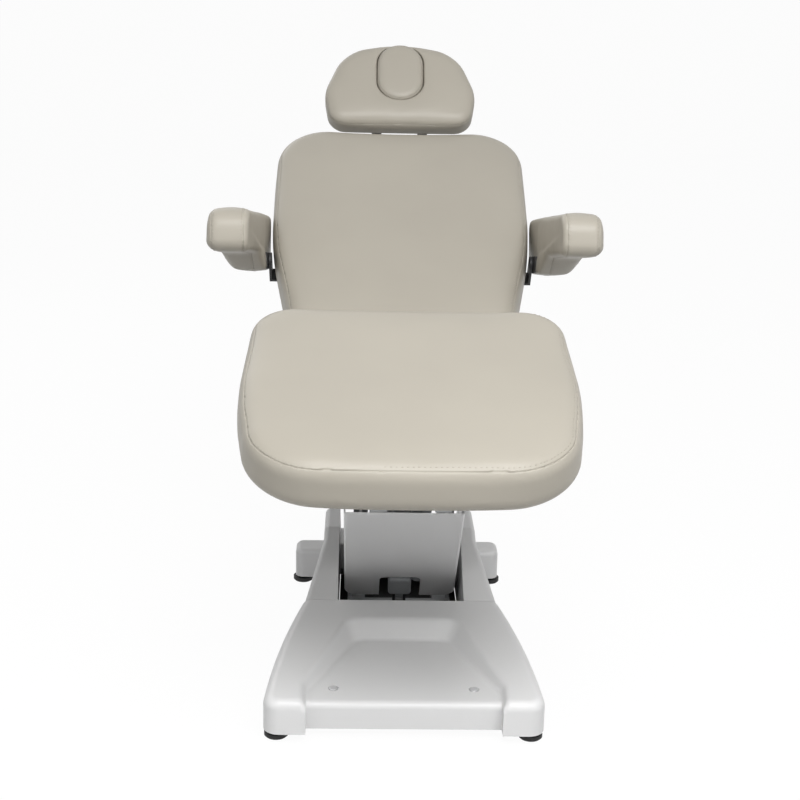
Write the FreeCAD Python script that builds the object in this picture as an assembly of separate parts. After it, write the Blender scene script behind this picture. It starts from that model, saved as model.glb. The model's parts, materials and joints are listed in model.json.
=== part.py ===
import FreeCAD, Part
import math
import os

# Electric beauty chair: lifting base, tilting seat, powered backrest and leg rest, padded headrest and arms.
# Millimetres. +Z is up, the sitter faces -Y, X = 0 is the plane of symmetry.
# Side-view points are (y, z) pairs. Each upholstered section is drawn flat and then turned about its hinge.

V = FreeCAD.Vector

# Pose in which the chair is drawn, in degrees
ARM_ANGLE = 46.5
SEAT_TILT = 14.5
LEG_DROP = 18.0
BACK_RISE = 32.0
HEAD_RISE = 52.0
ARMREST_RISE = 11.0

# Upholstery
PAD_HALF_WIDTH = 314.0
PAD_THICKNESS = 92.0
BOARD_THICKNESS = 15.0
BOARD_INSET = 38.0
LEG_PAD_FOOT = 494.0
LEG_PAD_OVERHANG = 82.0
LEG_PAD_KNEE_HALF_WIDTH = 315.0
LEG_PAD_HALF_WIDTH = 326.0
LEG_PAD_WIDEST = 235.0
LEG_PAD_SIDE_RADIUS = 700.0
LEG_PAD_FOOT_HALF_WIDTH = 300.0
LEG_PAD_FOOT_BOW = 18.0
LEG_PAD_KNEE_RADIUS = 85.0
LEG_PAD_FOOT_RADIUS = 135.0
LEG_RISE = 4.0
SEAT_PAD_START = 97.0
SEAT_PAD_END = 404.0
SEAT_PAD_RADIUS = 72.0
BACK_PAD_START = 21.0
BACK_PAD_END = 750.0
BACK_PAD_LOW_HALF_WIDTH = 262.0
BACK_PAD_SHOULDER = 330.0
BACK_PAD_LOW_RADIUS = 70.0
BACK_PAD_TOP_RADIUS = 130.0
BACK_PAD_TOP_DIP = 10.0
BACK_SIDE_RADIUS = 900.0
PAD_EDGE = 24.0
PAD_FOOT_DRAW = 8.0
PAD_SIDE_DRAW = 2.0
PAD_CROWN = 5.0
PAD_SWELL_LEVEL = 0.14
PAD_FULL_LEVEL = 0.40
PAD_ROUND_LEVEL = 0.45
PAD_ROUND_DRAW = 0.22
PAD_SHOULDER_DRAW = 0.8
PAD_CROWN_DRAW = 2.6
MIN_CORNER = 6.0
BOW_RADIUS = 2600.0

# Headrest and its face-hole plug
HEAD_WIDTH = 406.0
HEAD_HEIGHT = 260.0
HEAD_PAD_THICKNESS = 66.0
HEAD_PAD_EDGE = 18.0
HEAD_LOW_HALF_WIDTH = 186.0
HEAD_LOW_RADIUS = 48.0
HEAD_WIDEST = 94.0
HEAD_SIDE_RADIUS = 90.0
HEAD_CROWN_HALF_WIDTH = 158.0
HEAD_SHOULDER = 226.0
HEAD_SHOULDER_RADIUS = 98.0
HEAD_CROWN_RADIUS = 350.0
HEAD_BOARD_THICKNESS = 10.0
HEAD_BOARD_INSET = 18.0
HEAD_SETBACK = 58.0
HEAD_FOOT_DROP = 6.0
PLUG_WIDTH = 126.0
PLUG_HEIGHT = 176.0
PLUG_TOP_MARGIN = 14.0
PLUG_GAP = 1.0
PLUG_RADIUS = 62.0
PLUG_EDGE = 12.0
PLUG_STAND = 6.0
POST_RADIUS = 6.0
POST_SPACING = 150.0
POST_DEPTH = 150.0
POST_BAR_RADIUS = 8.0
HEAD_HINGE_ALONG = 812.0
HEAD_HINGE_LEVEL = -11.0
GUIDE_LENGTH = 70.0
GUIDE_WALL = 5.0
HEAD_EAR_X = 58.0
HEAD_EAR_RUN = 30.0
HEAD_EAR_RADIUS = 16.0
HEAD_EAR_FLANGE = 4.0
HEAD_EAR_FLANGE_END = 90.0
HEAD_EAR_FOOT = 10.0

# Armrests
ARMREST_INNER_X = 344.0
ARMREST_WIDTH = 92.0
ARMREST_LENGTH = 432.0
ARMREST_REAR = 108.0
ARMREST_HEIGHT = 98.0
ARMREST_BASE = 18.0
ARMREST_PIVOT_ALONG = 290.0
ARMREST_PIVOT_LEVEL = 45.0
ARMREST_BOLT_RADIUS = 6.0
ARMREST_HINGE_X = 316.0
ARMREST_HINGE_WALL = 6.0
ARMREST_HINGE_FOOT = 80.0
ARMREST_BRACKET_GAP = 1.0
ARMREST_BRACKET_WALL = 6.0
ARMREST_STRAP = 60.0
ARMREST_BOSS = 14.0
ARMREST_EYE = 20.0
ARMREST_OUTER_EDGE = 24.0
ARMREST_INNER_EDGE = 12.0
ARMREST_NOSE_RADIUS = 46.0
ARMREST_CHIN_RADIUS = 30.0
ARMREST_TAIL_RADIUS = 34.0
ARMREST_HEEL_LENGTH = 190.0
ARMREST_HEEL_FRONT = 105.0
ARMREST_HEEL_REAR = 92.0
ARMREST_HEEL_DROP = 26.0
ARMREST_HEEL_RADIUS = 30.0
ARMREST_HOLLOW_RADIUS = 60.0

# Steel sections under the boards
RAIL = 30.0
SEAT_RAIL_X = 90.0
INNER_RAIL_X = 58.0
SEAT_RAIL_END = 480.0
SEAT_CROSS_FRONT = 80.0
SEAT_CROSS_MIDDLE = 240.0
SEAT_CROSS_REAR = 366.0
LEG_HINGE_LEVEL = -15.0
BACK_HINGE_ALONG = 462.0
BACK_HINGE_LEVEL = 45.0
HINGE_PLATE = 12.0
HINGE_EYE = 17.0
HINGE_PIN_RADIUS = 6.0
LEG_RAIL_END = 430.0
LEG_CROSS_NEAR = 64.0
LEG_CROSS_FAR = 400.0
BACK_RAIL_END = 560.0
BACK_CROSS_NEAR = 45.0
BACK_CROSS_FAR = 530.0
RUNNING_FIT = 0.05

# Lifting linkage
ARM_PIVOT_Y = 190.0
ARM_PIVOT_Z = 104.0
ARM_LENGTH = 400.0
ARM_X = 90.0
ARM_THICKNESS = 30.0
ARM_DEPTH = 60.0
LINK_OFFSET_Y = 70.0
LINK_OFFSET_Z = 70.0
LINK_X = 60.0
LINK_THICKNESS = 20.0
LINK_DEPTH = 32.0
LINK_WEB = 8.0
SHAFT_RADIUS = 10.0
SHAFT_END_X = 121.0
BUSH_WALL = 3.0
BUSH_FLANGE = 1.5
BRACKET_X = 108.0
BRACKET_WALL = 8.0
BRACKET_EYE = 26.0
BRACKET_FOOT_FRONT = 172.0
BRACKET_FOOT_REAR = 330.0
CARRIER_X = 109.0
CARRIER_WALL = 8.0
CARRIER_EYE = 24.0
CARRIER_REACH = 105.0
CARRIER_RISE = 202.0
TILT_ALONG = 150.0
TILT_LEVEL = -45.0
CROSS_TUBE_RADIUS = 10.0
CROSS_TUBE_WALL = 2.5
ARM_CROSS_PLACES = ((100.0, 18.0), (325.0, -18.0))
ARM_COVER_HALF_WIDTH = 125.0
ARM_COVER_STAND = 55.0
ARM_COVER_WALL = 3.0
ARM_COVER_LOW = 8.0
ARM_COVER_HIGH = 432.0
ARM_COVER_FLANGE = 34.0
ARM_COVER_CUT_HALF_WIDTH = 46.0
ARM_COVER_CUT_TOP = 112.0
ARM_COVER_CORNER = 30.0

# Linear drives
DRIVE_PIN_RADIUS = 5.0
DRIVE_EYE = 12.0
DRIVE_EYE_HALF_WIDTH = 9.0
DRIVE_EYE_RIM = 6.0
DRIVE_NECK = 26.0
DRIVE_BODY_LENGTH = 60.0
DRIVE_BODY_EDGE = 8.0
DRIVE_BODY_HALF_WIDTH = 26.0
DRIVE_BODY_HALF_DEPTH = 27.0
DRIVE_TUBE_RADIUS = 18.0
DRIVE_COLLAR = 12.0
DRIVE_COLLAR_STEP = 2.0
DRIVE_ROD_RADIUS = 9.0
DRIVE_ROD_FIT = 0.1
DRIVE_ROD_END = 4.0
DRIVE_MOTOR_RADIUS = 20.0
DRIVE_MOTOR_START = 72.0
DRIVE_MOTOR_LENGTH = 70.0
DRIVE_MOTOR_OFFSET = 39.0
LEVER_WALL = 6.0
LEVER_GAP = 13.0
LEVER_SLOT = 18.0
LEVER_RIM = 6.0
LIFT_FOOT_ALONG = 5.0
LIFT_FOOT_STAND = -50.0
LIFT_HEAD_SETBACK = 30.0
LIFT_HEAD_STAND = 36.0
LIFT_PIN_RADIUS = 8.0
LIFT_EYE_PLAY = 5.0
LIFT_TUBE = 220.0
LIFT_STROKE = 20.0
SIDE_DRIVE_X = 46.0
LEG_LEVER = 85.0
LEG_LEVER_REACH = 113.0
LEG_DRIVE_MOUNT = 396.0
LEG_TUBE = 190.0
LEG_STROKE = 72.0
BACK_LEVER = 75.0
BACK_LEVER_REACH = 99.0
BACK_LEVER_NEUTRAL = 40.0
BACK_DRIVE_RISE = 13.0
BACK_DRIVE_MOUNT = 110.0
BACK_TUBE = 190.0
BACK_STROKE = 74.0
TILT_LUG_ALONG = 30.0
TILT_LUG_LEVEL = -42.0
TILT_DRIVE_LENGTH = 198.0
TILT_DRIVE_LEAN = 10.7
TILT_TUBE = 62.0
TILT_STROKE = 32.0
TILT_EYE_PLAY = 2.5

# Base frame and feet
FOOT_RADIUS = 24.0
FOOT_HEIGHT = 14.0
FOOT_EDGE = 3.0
FOOT_NECK_RADIUS = 10.0
FOOT_STEM_RADIUS = 6.0
FOOT_STEM_TOP = 48.0
FRONT_FOOT_X = 250.0
REAR_FOOT_X = 229.0
FRONT_FOOT_Y = -385.0
REAR_FOOT_Y = 400.0
BEAM_BOTTOM = 22.0
BEAM_HEIGHT = 30.0
BEAM_WIDTH = 40.0
FRAME_CLEARANCE = 2.0
BASE_RAIL_X = 98.0
CLEVIS_HALF_LENGTH = 36.0
CLEVIS_FOOT = 6.0
STOP_Y = 108.0
STOP_X = 98.0
STOP_SIZE = 30.0
STOP_HEIGHT = 16.0
STOP_EDGE = 4.0

# Base covers
COVER_WALL = 4.0
COVER_BOTTOM = 20.0
FRONT_Y = -422.0
FRONT_HALF_WIDTH = 277.0
SIDE_BULGE_Y = -200.0
SIDE_BULGE_HALF_WIDTH = 254.0
PARTING_Y = -14.0
PARTING_GAP = 2.0
PARTING_HALF_WIDTH = 216.0
FRONT_TOP = 88.0
PARTING_TOP = 126.0
COVER_EDGE = 20.0
COVER_CORNER = 32.0
PAN_LEVEL = 76.0
PAN_REAR_Y = -112.0
PAN_REAR_HALF_WIDTH = 98.0
PAN_FRONT_HALF_WIDTH = 192.0
PAN_WALL_SPREAD = 26.0
PAN_CORNER = 34.0
PAN_WALL_RISE = 56.0
PAN_LIP = 14.0
PAN_TURN = 45.0
PAN_CREASE = 10.0
PAN_BRIM = 12.0
LEG_AHEAD = 26.0
SCREW_X = 140.0
SCREW_Y = -334.0
SCREW_RADIUS = 9.0
SCREW_SEAT = 2.0
SCREW_LENGTH = 24.0
SCREW_HEAD = 3.0
SCREW_SHANK = 3.0
POST_TAB = 6.0
CHEEK_INNER_X = 138.0
CHEEK_REAR_X = 180.0
CHEEK_PARTING_X = 214.0
CHEEK_TAPER_Y = 150.0
CHEEK_LEAN = 8.0
CHEEK_EDGE = 12.0
CHEEK_TOP = 224.0
CHEEK_CREST_FRONT = 176.0
CHEEK_CREST_REAR = 296.0
REAR_Y = 442.0
REAR_TOP = 120.0
OUTRIGGER_X = 247.0
OUTRIGGER_FRONT = 366.0
OUTRIGGER_TOP = 90.0
DECK_FRONT = 334.0
DECK_GAP = 0.3
CONTROL_HALF_WIDTH = 100.0
CONTROL_EDGE = 4.0
CONTROL_FRONT = 350.0
CONTROL_REAR = 428.0
CONTROL_HEIGHT = 46.0
INLET_WIDTH = 28.0
INLET_HEIGHT = 21.0
INLET_LEVEL = 72.0
INLET_DEPTH = 10.0
INLET_STAND = 2.0


# Helpers


def box(x0, x1, y0, y1, z0, z1):
    return Part.makeBox(x1 - x0, y1 - y0, z1 - z0, V(x0, y0, z0))


def rod_x(point, x0, x1, radius):
    return Part.makeCylinder(radius, x1 - x0, V(x0, point[0], point[1]), V(1, 0, 0))


def rod_y(x, z, y0, y1, radius):
    return Part.makeCylinder(radius, y1 - y0, V(x, y0, z), V(0, 1, 0))


def plate_x(points, x0, x1):
    """Side-view polygon given a thickness along X."""
    corners = [V(x0, y, z) for y, z in points]
    return Part.Face(Part.makePolygon(corners + corners[:1])).extrude(V(x1 - x0, 0, 0))


def bar_x(start, end, x0, x1, radius):
    """Side-view bar with round ends, centred on two points."""
    dy = end[0] - start[0]
    dz = end[1] - start[1]
    length = math.hypot(dy, dz)
    ny = -dz / length * radius
    nz = dy / length * radius
    corners = [(start[0] + ny, start[1] + nz), (end[0] + ny, end[1] + nz)]
    corners += [(end[0] - ny, end[1] - nz), (start[0] - ny, start[1] - nz)]
    solid = plate_x(corners, x0, x1)
    return fused([solid, rod_x(start, x0, x1, radius), rod_x(end, x0, x1, radius)])


def fused(solids):
    whole = solids[0]
    if len(solids) > 1:
        whole = solids[0].fuse(solids[1:])
    return whole.removeSplitter()


def both_sides(solid):
    """A piece and its mirror image across the plane of symmetry."""
    return [solid, mirrored(solid)]


def mirrored(solid):
    return solid.mirror(V(0, 0, 0), V(1, 0, 0))


def turned(solid, pivot, angle, target):
    """A piece drawn flat, turned about X at its pivot, with the pivot put on the target."""
    moved = solid.copy()
    moved.translate(V(0, -pivot[0], -pivot[1]))
    moved.rotate(V(0, 0, 0), V(1, 0, 0), angle)
    moved.translate(V(0, target[0], target[1]))
    return moved


def turned_point(point, pivot, angle, target):
    c = math.cos(math.radians(angle))
    s = math.sin(math.radians(angle))
    y = point[0] - pivot[0]
    z = point[1] - pivot[1]
    return (target[0] + y * c - z * s, target[1] + y * s + z * c)


def rounded_wire(corners, inset, z):
    """Closed outline of lines and arcs: corners are (x, y, radius), counter-clockwise, drawn in by inset."""
    count = len(corners)
    moved = []
    for i in range(count):
        ax, ay = corners[i - 1][0], corners[i - 1][1]
        bx, by = corners[i][0], corners[i][1]
        cx, cy = corners[(i + 1) % count][0], corners[(i + 1) % count][1]
        first = math.hypot(bx - ax, by - ay)
        second = math.hypot(cx - bx, cy - by)
        n1 = (-(by - ay) / first, (bx - ax) / first)
        n2 = (-(cy - by) / second, (cx - bx) / second)
        share = inset / (1 + n1[0] * n2[0] + n1[1] * n2[1])
        moved.append((bx + (n1[0] + n2[0]) * share, by + (n1[1] + n2[1]) * share))
    starts = []
    arcs = []
    for i in range(count):
        a, b, c = moved[i - 1], moved[i], moved[(i + 1) % count]
        d1 = math.hypot(a[0] - b[0], a[1] - b[1])
        d2 = math.hypot(c[0] - b[0], c[1] - b[1])
        u1 = ((a[0] - b[0]) / d1, (a[1] - b[1]) / d1)
        u2 = ((c[0] - b[0]) / d2, (c[1] - b[1]) / d2)
        half = math.acos(max(-1.0, min(1.0, u1[0] * u2[0] + u1[1] * u2[1]))) / 2
        turn_left = (b[0] - a[0]) * (c[1] - b[1]) - (b[1] - a[1]) * (c[0] - b[0]) > 0
        radius = corners[i][2] - inset if turn_left else corners[i][2] + inset
        radius = max(radius, MIN_CORNER)
        cut = radius / math.tan(half)
        reach = math.hypot(u1[0] + u2[0], u1[1] + u2[1])
        mid = ((u1[0] + u2[0]) / reach, (u1[1] + u2[1]) / reach)
        depth = radius / math.sin(half) - radius
        p = V(b[0] + u1[0] * cut, b[1] + u1[1] * cut, z)
        q = V(b[0] + u2[0] * cut, b[1] + u2[1] * cut, z)
        m = V(b[0] + mid[0] * depth, b[1] + mid[1] * depth, z)
        starts.append(p)
        arcs.append((p, m, q))
    edges = []
    for i in range(count):
        edges.append(Part.Arc(*arcs[i]).toShape())
        edges.append(Part.LineSegment(arcs[i][2], starts[(i + 1) % count]).toShape())
    return Part.Wire(edges)


def slab(corners, inset, z0, z1):
    return Part.Face(rounded_wire(corners, inset, z0)).extrude(V(0, 0, z1 - z0))


def cushion(corners, z0, thickness, edge):
    """Padded block: drawn in at its foot, fullest a third of the way up, rounded over and crowned on top."""
    rings = [(0.0, PAD_FOOT_DRAW), (PAD_SWELL_LEVEL * thickness, PAD_FOOT_DRAW / 4)]
    rings += [(PAD_FULL_LEVEL * thickness, 0.0), (thickness - edge, PAD_SIDE_DRAW)]
    rings.append((thickness - PAD_ROUND_LEVEL * edge, PAD_SIDE_DRAW + PAD_ROUND_DRAW * edge))
    rings.append((thickness - PAD_CROWN, PAD_SIDE_DRAW + PAD_SHOULDER_DRAW * edge))
    rings.append((thickness, PAD_SIDE_DRAW + PAD_CROWN_DRAW * edge))
    wires = [rounded_wire(corners, inset, z0 + height) for height, inset in rings]
    return Part.makeLoft(wires, True, False)


def mirror_corners(right_side):
    """Whole outline from the corners of its +X half, given from the front end to the rear end."""
    left_side = [(-x, y, r) for x, y, r in reversed(right_side) if x > 0]
    return right_side + left_side


# Pivot points in side view


def on_arm(along, stand):
    return turned_point((-along, stand), (0, 0), -ARM_ANGLE, ARM_FOOT)


def on_seat(along, level):
    return turned_point((along, level), (TILT_ALONG, TILT_LEVEL), -SEAT_TILT, TILT_PIVOT)


def on_back(along, level):
    return turned_point((along, level), (0, BACK_HINGE_LEVEL), BACK_RISE, BACK_HINGE)


ARM_FOOT = (ARM_PIVOT_Y, ARM_PIVOT_Z)
ARM_HEAD = on_arm(ARM_LENGTH, 0)
LINK_FOOT = (ARM_FOOT[0] + LINK_OFFSET_Y, ARM_FOOT[1] + LINK_OFFSET_Z)
LINK_HEAD = (ARM_HEAD[0] + LINK_OFFSET_Y, ARM_HEAD[1] + LINK_OFFSET_Z)
TILT_PIVOT = (ARM_HEAD[0] + CARRIER_REACH, ARM_HEAD[1] + CARRIER_RISE)
LEG_HINGE = on_seat(0, LEG_HINGE_LEVEL)
BACK_HINGE = on_seat(BACK_HINGE_ALONG, BACK_HINGE_LEVEL)
HEAD_HINGE = on_back(HEAD_HINGE_ALONG, HEAD_HINGE_LEVEL)
ARMREST_PIVOT = on_back(ARMREST_PIVOT_ALONG, ARMREST_PIVOT_LEVEL)
LIFT_FOOT = on_arm(LIFT_FOOT_ALONG, LIFT_FOOT_STAND)
LIFT_HEAD_ALONG = ARM_LENGTH - LIFT_HEAD_SETBACK
LIFT_HEAD = on_arm(LIFT_HEAD_ALONG, LIFT_HEAD_STAND)
LIFT_SPAN = math.hypot(LIFT_HEAD[0] - LIFT_FOOT[0], LIFT_HEAD[1] - LIFT_FOOT[1])
LIFT_RISE = math.degrees(math.atan2(LIFT_HEAD[1] - LIFT_FOOT[1], LIFT_FOOT[0] - LIFT_HEAD[0]))
TILT_LUG = on_seat(TILT_LUG_ALONG, TILT_LUG_LEVEL)
TILT_DRIVE_RISE = 90.0 + TILT_DRIVE_LEAN
TILT_MOUNT = turned_point((TILT_DRIVE_LENGTH, 0), (0, 0), -TILT_DRIVE_RISE, TILT_LUG)
KNEE_BEND = SEAT_TILT + LEG_DROP
BACK_BEND = SEAT_TILT + BACK_RISE

# The rod ends at rest, along and below the seat
LEG_DRIVE_LEVEL = LEG_HINGE_LEVEL - LEG_LEVER
BACK_DRIVE_FOOT = (
    BACK_HINGE_ALONG + BACK_LEVER * math.sin(math.radians(BACK_DRIVE_RISE)),
    BACK_HINGE_LEVEL - BACK_LEVER * math.cos(math.radians(BACK_DRIVE_RISE)),
)
BACK_DRIVE_SLOPE = math.tan(math.radians(BACK_DRIVE_RISE))
BACK_MOUNT_LEVEL = BACK_DRIVE_FOOT[1] - (BACK_DRIVE_FOOT[0] - BACK_DRIVE_MOUNT) * BACK_DRIVE_SLOPE
BACK_REST_STROKE = BACK_LEVER * math.tan(math.radians(BACK_BEND - BACK_LEVER_NEUTRAL))
BACK_SPAN = (BACK_DRIVE_FOOT[0] - BACK_DRIVE_MOUNT) / math.cos(math.radians(BACK_DRIVE_RISE))
BACK_SPAN += BACK_REST_STROKE


def place_arm(solid):
    return turned(solid, (0, 0), -ARM_ANGLE, ARM_FOOT)


def place_seat(solid):
    return turned(solid, (TILT_ALONG, TILT_LEVEL), -SEAT_TILT, TILT_PIVOT)


def place_leg(solid):
    return turned(solid, (0, LEG_HINGE_LEVEL), LEG_DROP, LEG_HINGE)


def place_back(solid):
    return turned(solid, (0, BACK_HINGE_LEVEL), BACK_RISE, BACK_HINGE)


def place_head(solid):
    return turned(solid, (0, 0), HEAD_RISE, HEAD_HINGE)


def place_armrest(solid):
    return turned(solid, (0, 0), -ARMREST_RISE, ARMREST_PIVOT)


# Outlines of the upholstered sections, seen from above and drawn flat

LEG_OUTLINE = mirror_corners([
    (0, -LEG_PAD_FOOT, BOW_RADIUS),
    (LEG_PAD_FOOT_HALF_WIDTH, LEG_PAD_FOOT_BOW - LEG_PAD_FOOT, LEG_PAD_FOOT_RADIUS),
    (LEG_PAD_HALF_WIDTH, -LEG_PAD_WIDEST, LEG_PAD_SIDE_RADIUS),
    (LEG_PAD_KNEE_HALF_WIDTH, LEG_PAD_OVERHANG, LEG_PAD_KNEE_RADIUS),
])
SEAT_OUTLINE = mirror_corners([
    (PAD_HALF_WIDTH, SEAT_PAD_START, SEAT_PAD_RADIUS),
    (PAD_HALF_WIDTH, SEAT_PAD_END, SEAT_PAD_RADIUS),
])
BACK_OUTLINE = mirror_corners([
    (BACK_PAD_LOW_HALF_WIDTH, BACK_PAD_START, BACK_PAD_LOW_RADIUS),
    (PAD_HALF_WIDTH, BACK_PAD_SHOULDER, BACK_SIDE_RADIUS),
    (PAD_HALF_WIDTH, BACK_PAD_END, BACK_PAD_TOP_RADIUS),
    (0, BACK_PAD_END - BACK_PAD_TOP_DIP, BOW_RADIUS),
])
HEAD_OUTLINE = mirror_corners([
    (HEAD_LOW_HALF_WIDTH, -HEAD_FOOT_DROP, HEAD_LOW_RADIUS),
    (HEAD_WIDTH / 2, HEAD_WIDEST, HEAD_SIDE_RADIUS),
    (HEAD_CROWN_HALF_WIDTH, HEAD_SHOULDER, HEAD_SHOULDER_RADIUS),
    (0, HEAD_HEIGHT - HEAD_FOOT_DROP, HEAD_CROWN_RADIUS),
])
PLUG_TOP = HEAD_HEIGHT - HEAD_FOOT_DROP - PLUG_TOP_MARGIN
PLUG_OUTLINE = mirror_corners([
    (PLUG_WIDTH / 2, PLUG_TOP - PLUG_HEIGHT, PLUG_RADIUS),
    (PLUG_WIDTH / 2, PLUG_TOP, PLUG_RADIUS),
])
PLUG_BODY = mirror_corners([
    (PLUG_WIDTH / 2 - PLUG_GAP, PLUG_TOP - PLUG_HEIGHT + PLUG_GAP, PLUG_RADIUS - PLUG_GAP),
    (PLUG_WIDTH / 2 - PLUG_GAP, PLUG_TOP - PLUG_GAP, PLUG_RADIUS - PLUG_GAP),
])
ARMREST_OUTER_X = ARMREST_INNER_X + ARMREST_WIDTH


# Upholstery


def leg_upholstery():
    level = LEG_RISE
    board = slab(LEG_OUTLINE, BOARD_INSET, level, level + BOARD_THICKNESS)
    pad = cushion(LEG_OUTLINE, level + BOARD_THICKNESS, PAD_THICKNESS, PAD_EDGE)
    return place_leg(board), place_leg(pad)


def seat_upholstery():
    board = slab(SEAT_OUTLINE, BOARD_INSET, 0, BOARD_THICKNESS)
    pad = cushion(SEAT_OUTLINE, BOARD_THICKNESS, PAD_THICKNESS, PAD_EDGE)
    return place_seat(board), place_seat(pad)


def back_upholstery():
    board = slab(BACK_OUTLINE, BOARD_INSET, 0, BOARD_THICKNESS)
    pad = cushion(BACK_OUTLINE, BOARD_THICKNESS, PAD_THICKNESS, PAD_EDGE)
    return place_back(board), place_back(pad)


def head_upholstery():
    level = HEAD_SETBACK + HEAD_BOARD_THICKNESS
    board = slab(HEAD_OUTLINE, HEAD_BOARD_INSET, HEAD_SETBACK, level)
    pad = cushion(HEAD_OUTLINE, level, HEAD_PAD_THICKNESS, HEAD_PAD_EDGE)
    hole = slab(PLUG_OUTLINE, 0, HEAD_SETBACK - PLUG_STAND, level + HEAD_PAD_THICKNESS + PLUG_STAND)
    plug_height = HEAD_BOARD_THICKNESS + HEAD_PAD_THICKNESS + PLUG_STAND
    plug = cushion(PLUG_BODY, HEAD_SETBACK, plug_height, PLUG_EDGE)
    x0 = HEAD_EAR_X
    x1 = HEAD_EAR_X + LEVER_WALL
    flange = HEAD_SETBACK - HEAD_EAR_FLANGE
    ears = [bar_x((0, 0), (HEAD_EAR_RUN, flange), x0, x1, HEAD_EAR_RADIUS)]
    ears.append(box(x0 - HEAD_EAR_FOOT, x1 + HEAD_EAR_FOOT, 0, HEAD_EAR_FLANGE_END, flange, HEAD_SETBACK))
    ear = fused(ears).common(box(0, HEAD_WIDTH, -HEAD_WIDTH, HEAD_WIDTH, -HEAD_WIDTH, HEAD_SETBACK))
    ear = ear.cut(rod_x((0, 0), 0, HEAD_WIDTH, POST_BAR_RADIUS + RUNNING_FIT))
    ear = ear.cut(slab(PLUG_OUTLINE, -PLUG_GAP, 0, HEAD_SETBACK))
    brackets = Part.makeCompound([place_head(side) for side in both_sides(ear)])
    return place_head(board.cut(hole)), place_head(pad.cut(hole)), place_head(plug), brackets


def edges_along_x(solid, y, z):
    found = [e for e in solid.Edges if e.BoundBox.XLength > RUNNING_FIT]
    found = [e for e in found if e.BoundBox.YLength < RUNNING_FIT and e.BoundBox.ZLength < RUNNING_FIT]
    return [e for e in found if math.hypot(e.BoundBox.YMin - y, e.BoundBox.ZMin - z) < RUNNING_FIT]


def armrest():
    """Pad, carrying bracket and hinge plate of the +X armrest."""
    top = ARMREST_BASE + ARMREST_HEIGHT
    corners = [
        (-ARMREST_LENGTH, ARMREST_BASE, ARMREST_CHIN_RADIUS),
        (-ARMREST_HEEL_LENGTH, ARMREST_BASE, ARMREST_HOLLOW_RADIUS),
        (-ARMREST_HEEL_FRONT, -ARMREST_HEEL_DROP, ARMREST_HEEL_RADIUS),
        (ARMREST_HEEL_REAR, -ARMREST_HEEL_DROP, ARMREST_HEEL_RADIUS),
        (ARMREST_REAR, top, ARMREST_TAIL_RADIUS),
        (-ARMREST_LENGTH, top, ARMREST_NOSE_RADIUS),
    ]
    pad = plate_x([(y, z) for y, z, radius in corners], ARMREST_INNER_X, ARMREST_OUTER_X)
    for y, z, radius in corners:
        pad = pad.makeFillet(radius, edges_along_x(pad, y, z))
    for x, edge in ((ARMREST_INNER_X, ARMREST_INNER_EDGE), (ARMREST_OUTER_X, ARMREST_OUTER_EDGE)):
        loop = [e for e in pad.Edges if abs(e.BoundBox.XMin - x) + e.BoundBox.XLength < RUNNING_FIT]
        pad = pad.makeFillet(edge, loop)
    x0 = ARMREST_HINGE_X + ARMREST_HINGE_WALL + ARMREST_BRACKET_GAP
    x1 = x0 + ARMREST_BRACKET_WALL
    strap = bar_x((0, 0), (-ARMREST_STRAP, 0), x0, x1, ARMREST_EYE)
    boss = bar_x((0, 0), (-ARMREST_STRAP, 0), x1, ARMREST_INNER_X, ARMREST_BOSS)
    bolt_hole = rod_x((0, 0), 0, ARMREST_INNER_X, ARMREST_BOLT_RADIUS + RUNNING_FIT)
    bracket = fused([strap, boss]).cut(bolt_hole)
    hinge_x1 = ARMREST_HINGE_X + ARMREST_HINGE_WALL
    along = ARMREST_PIVOT_ALONG
    plate = bar_x((along, ARMREST_PIVOT_LEVEL), (along, 0), ARMREST_HINGE_X, hinge_x1, ARMREST_EYE)
    plate = plate.common(box(0, hinge_x1, 0, BACK_PAD_END, -ARMREST_HINGE_WALL, BACK_PAD_END))
    foot = box(ARMREST_HINGE_X - ARMREST_HINGE_FOOT, hinge_x1, along - ARMREST_EYE, along + ARMREST_EYE,
               -ARMREST_HINGE_WALL, 0)
    bolt = rod_x((along, ARMREST_PIVOT_LEVEL), ARMREST_HINGE_X, x1 + RUNNING_FIT, ARMREST_BOLT_RADIUS)
    return place_armrest(pad), place_armrest(bracket), place_back(fused([plate, foot, bolt]))


# Linear drives


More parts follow.
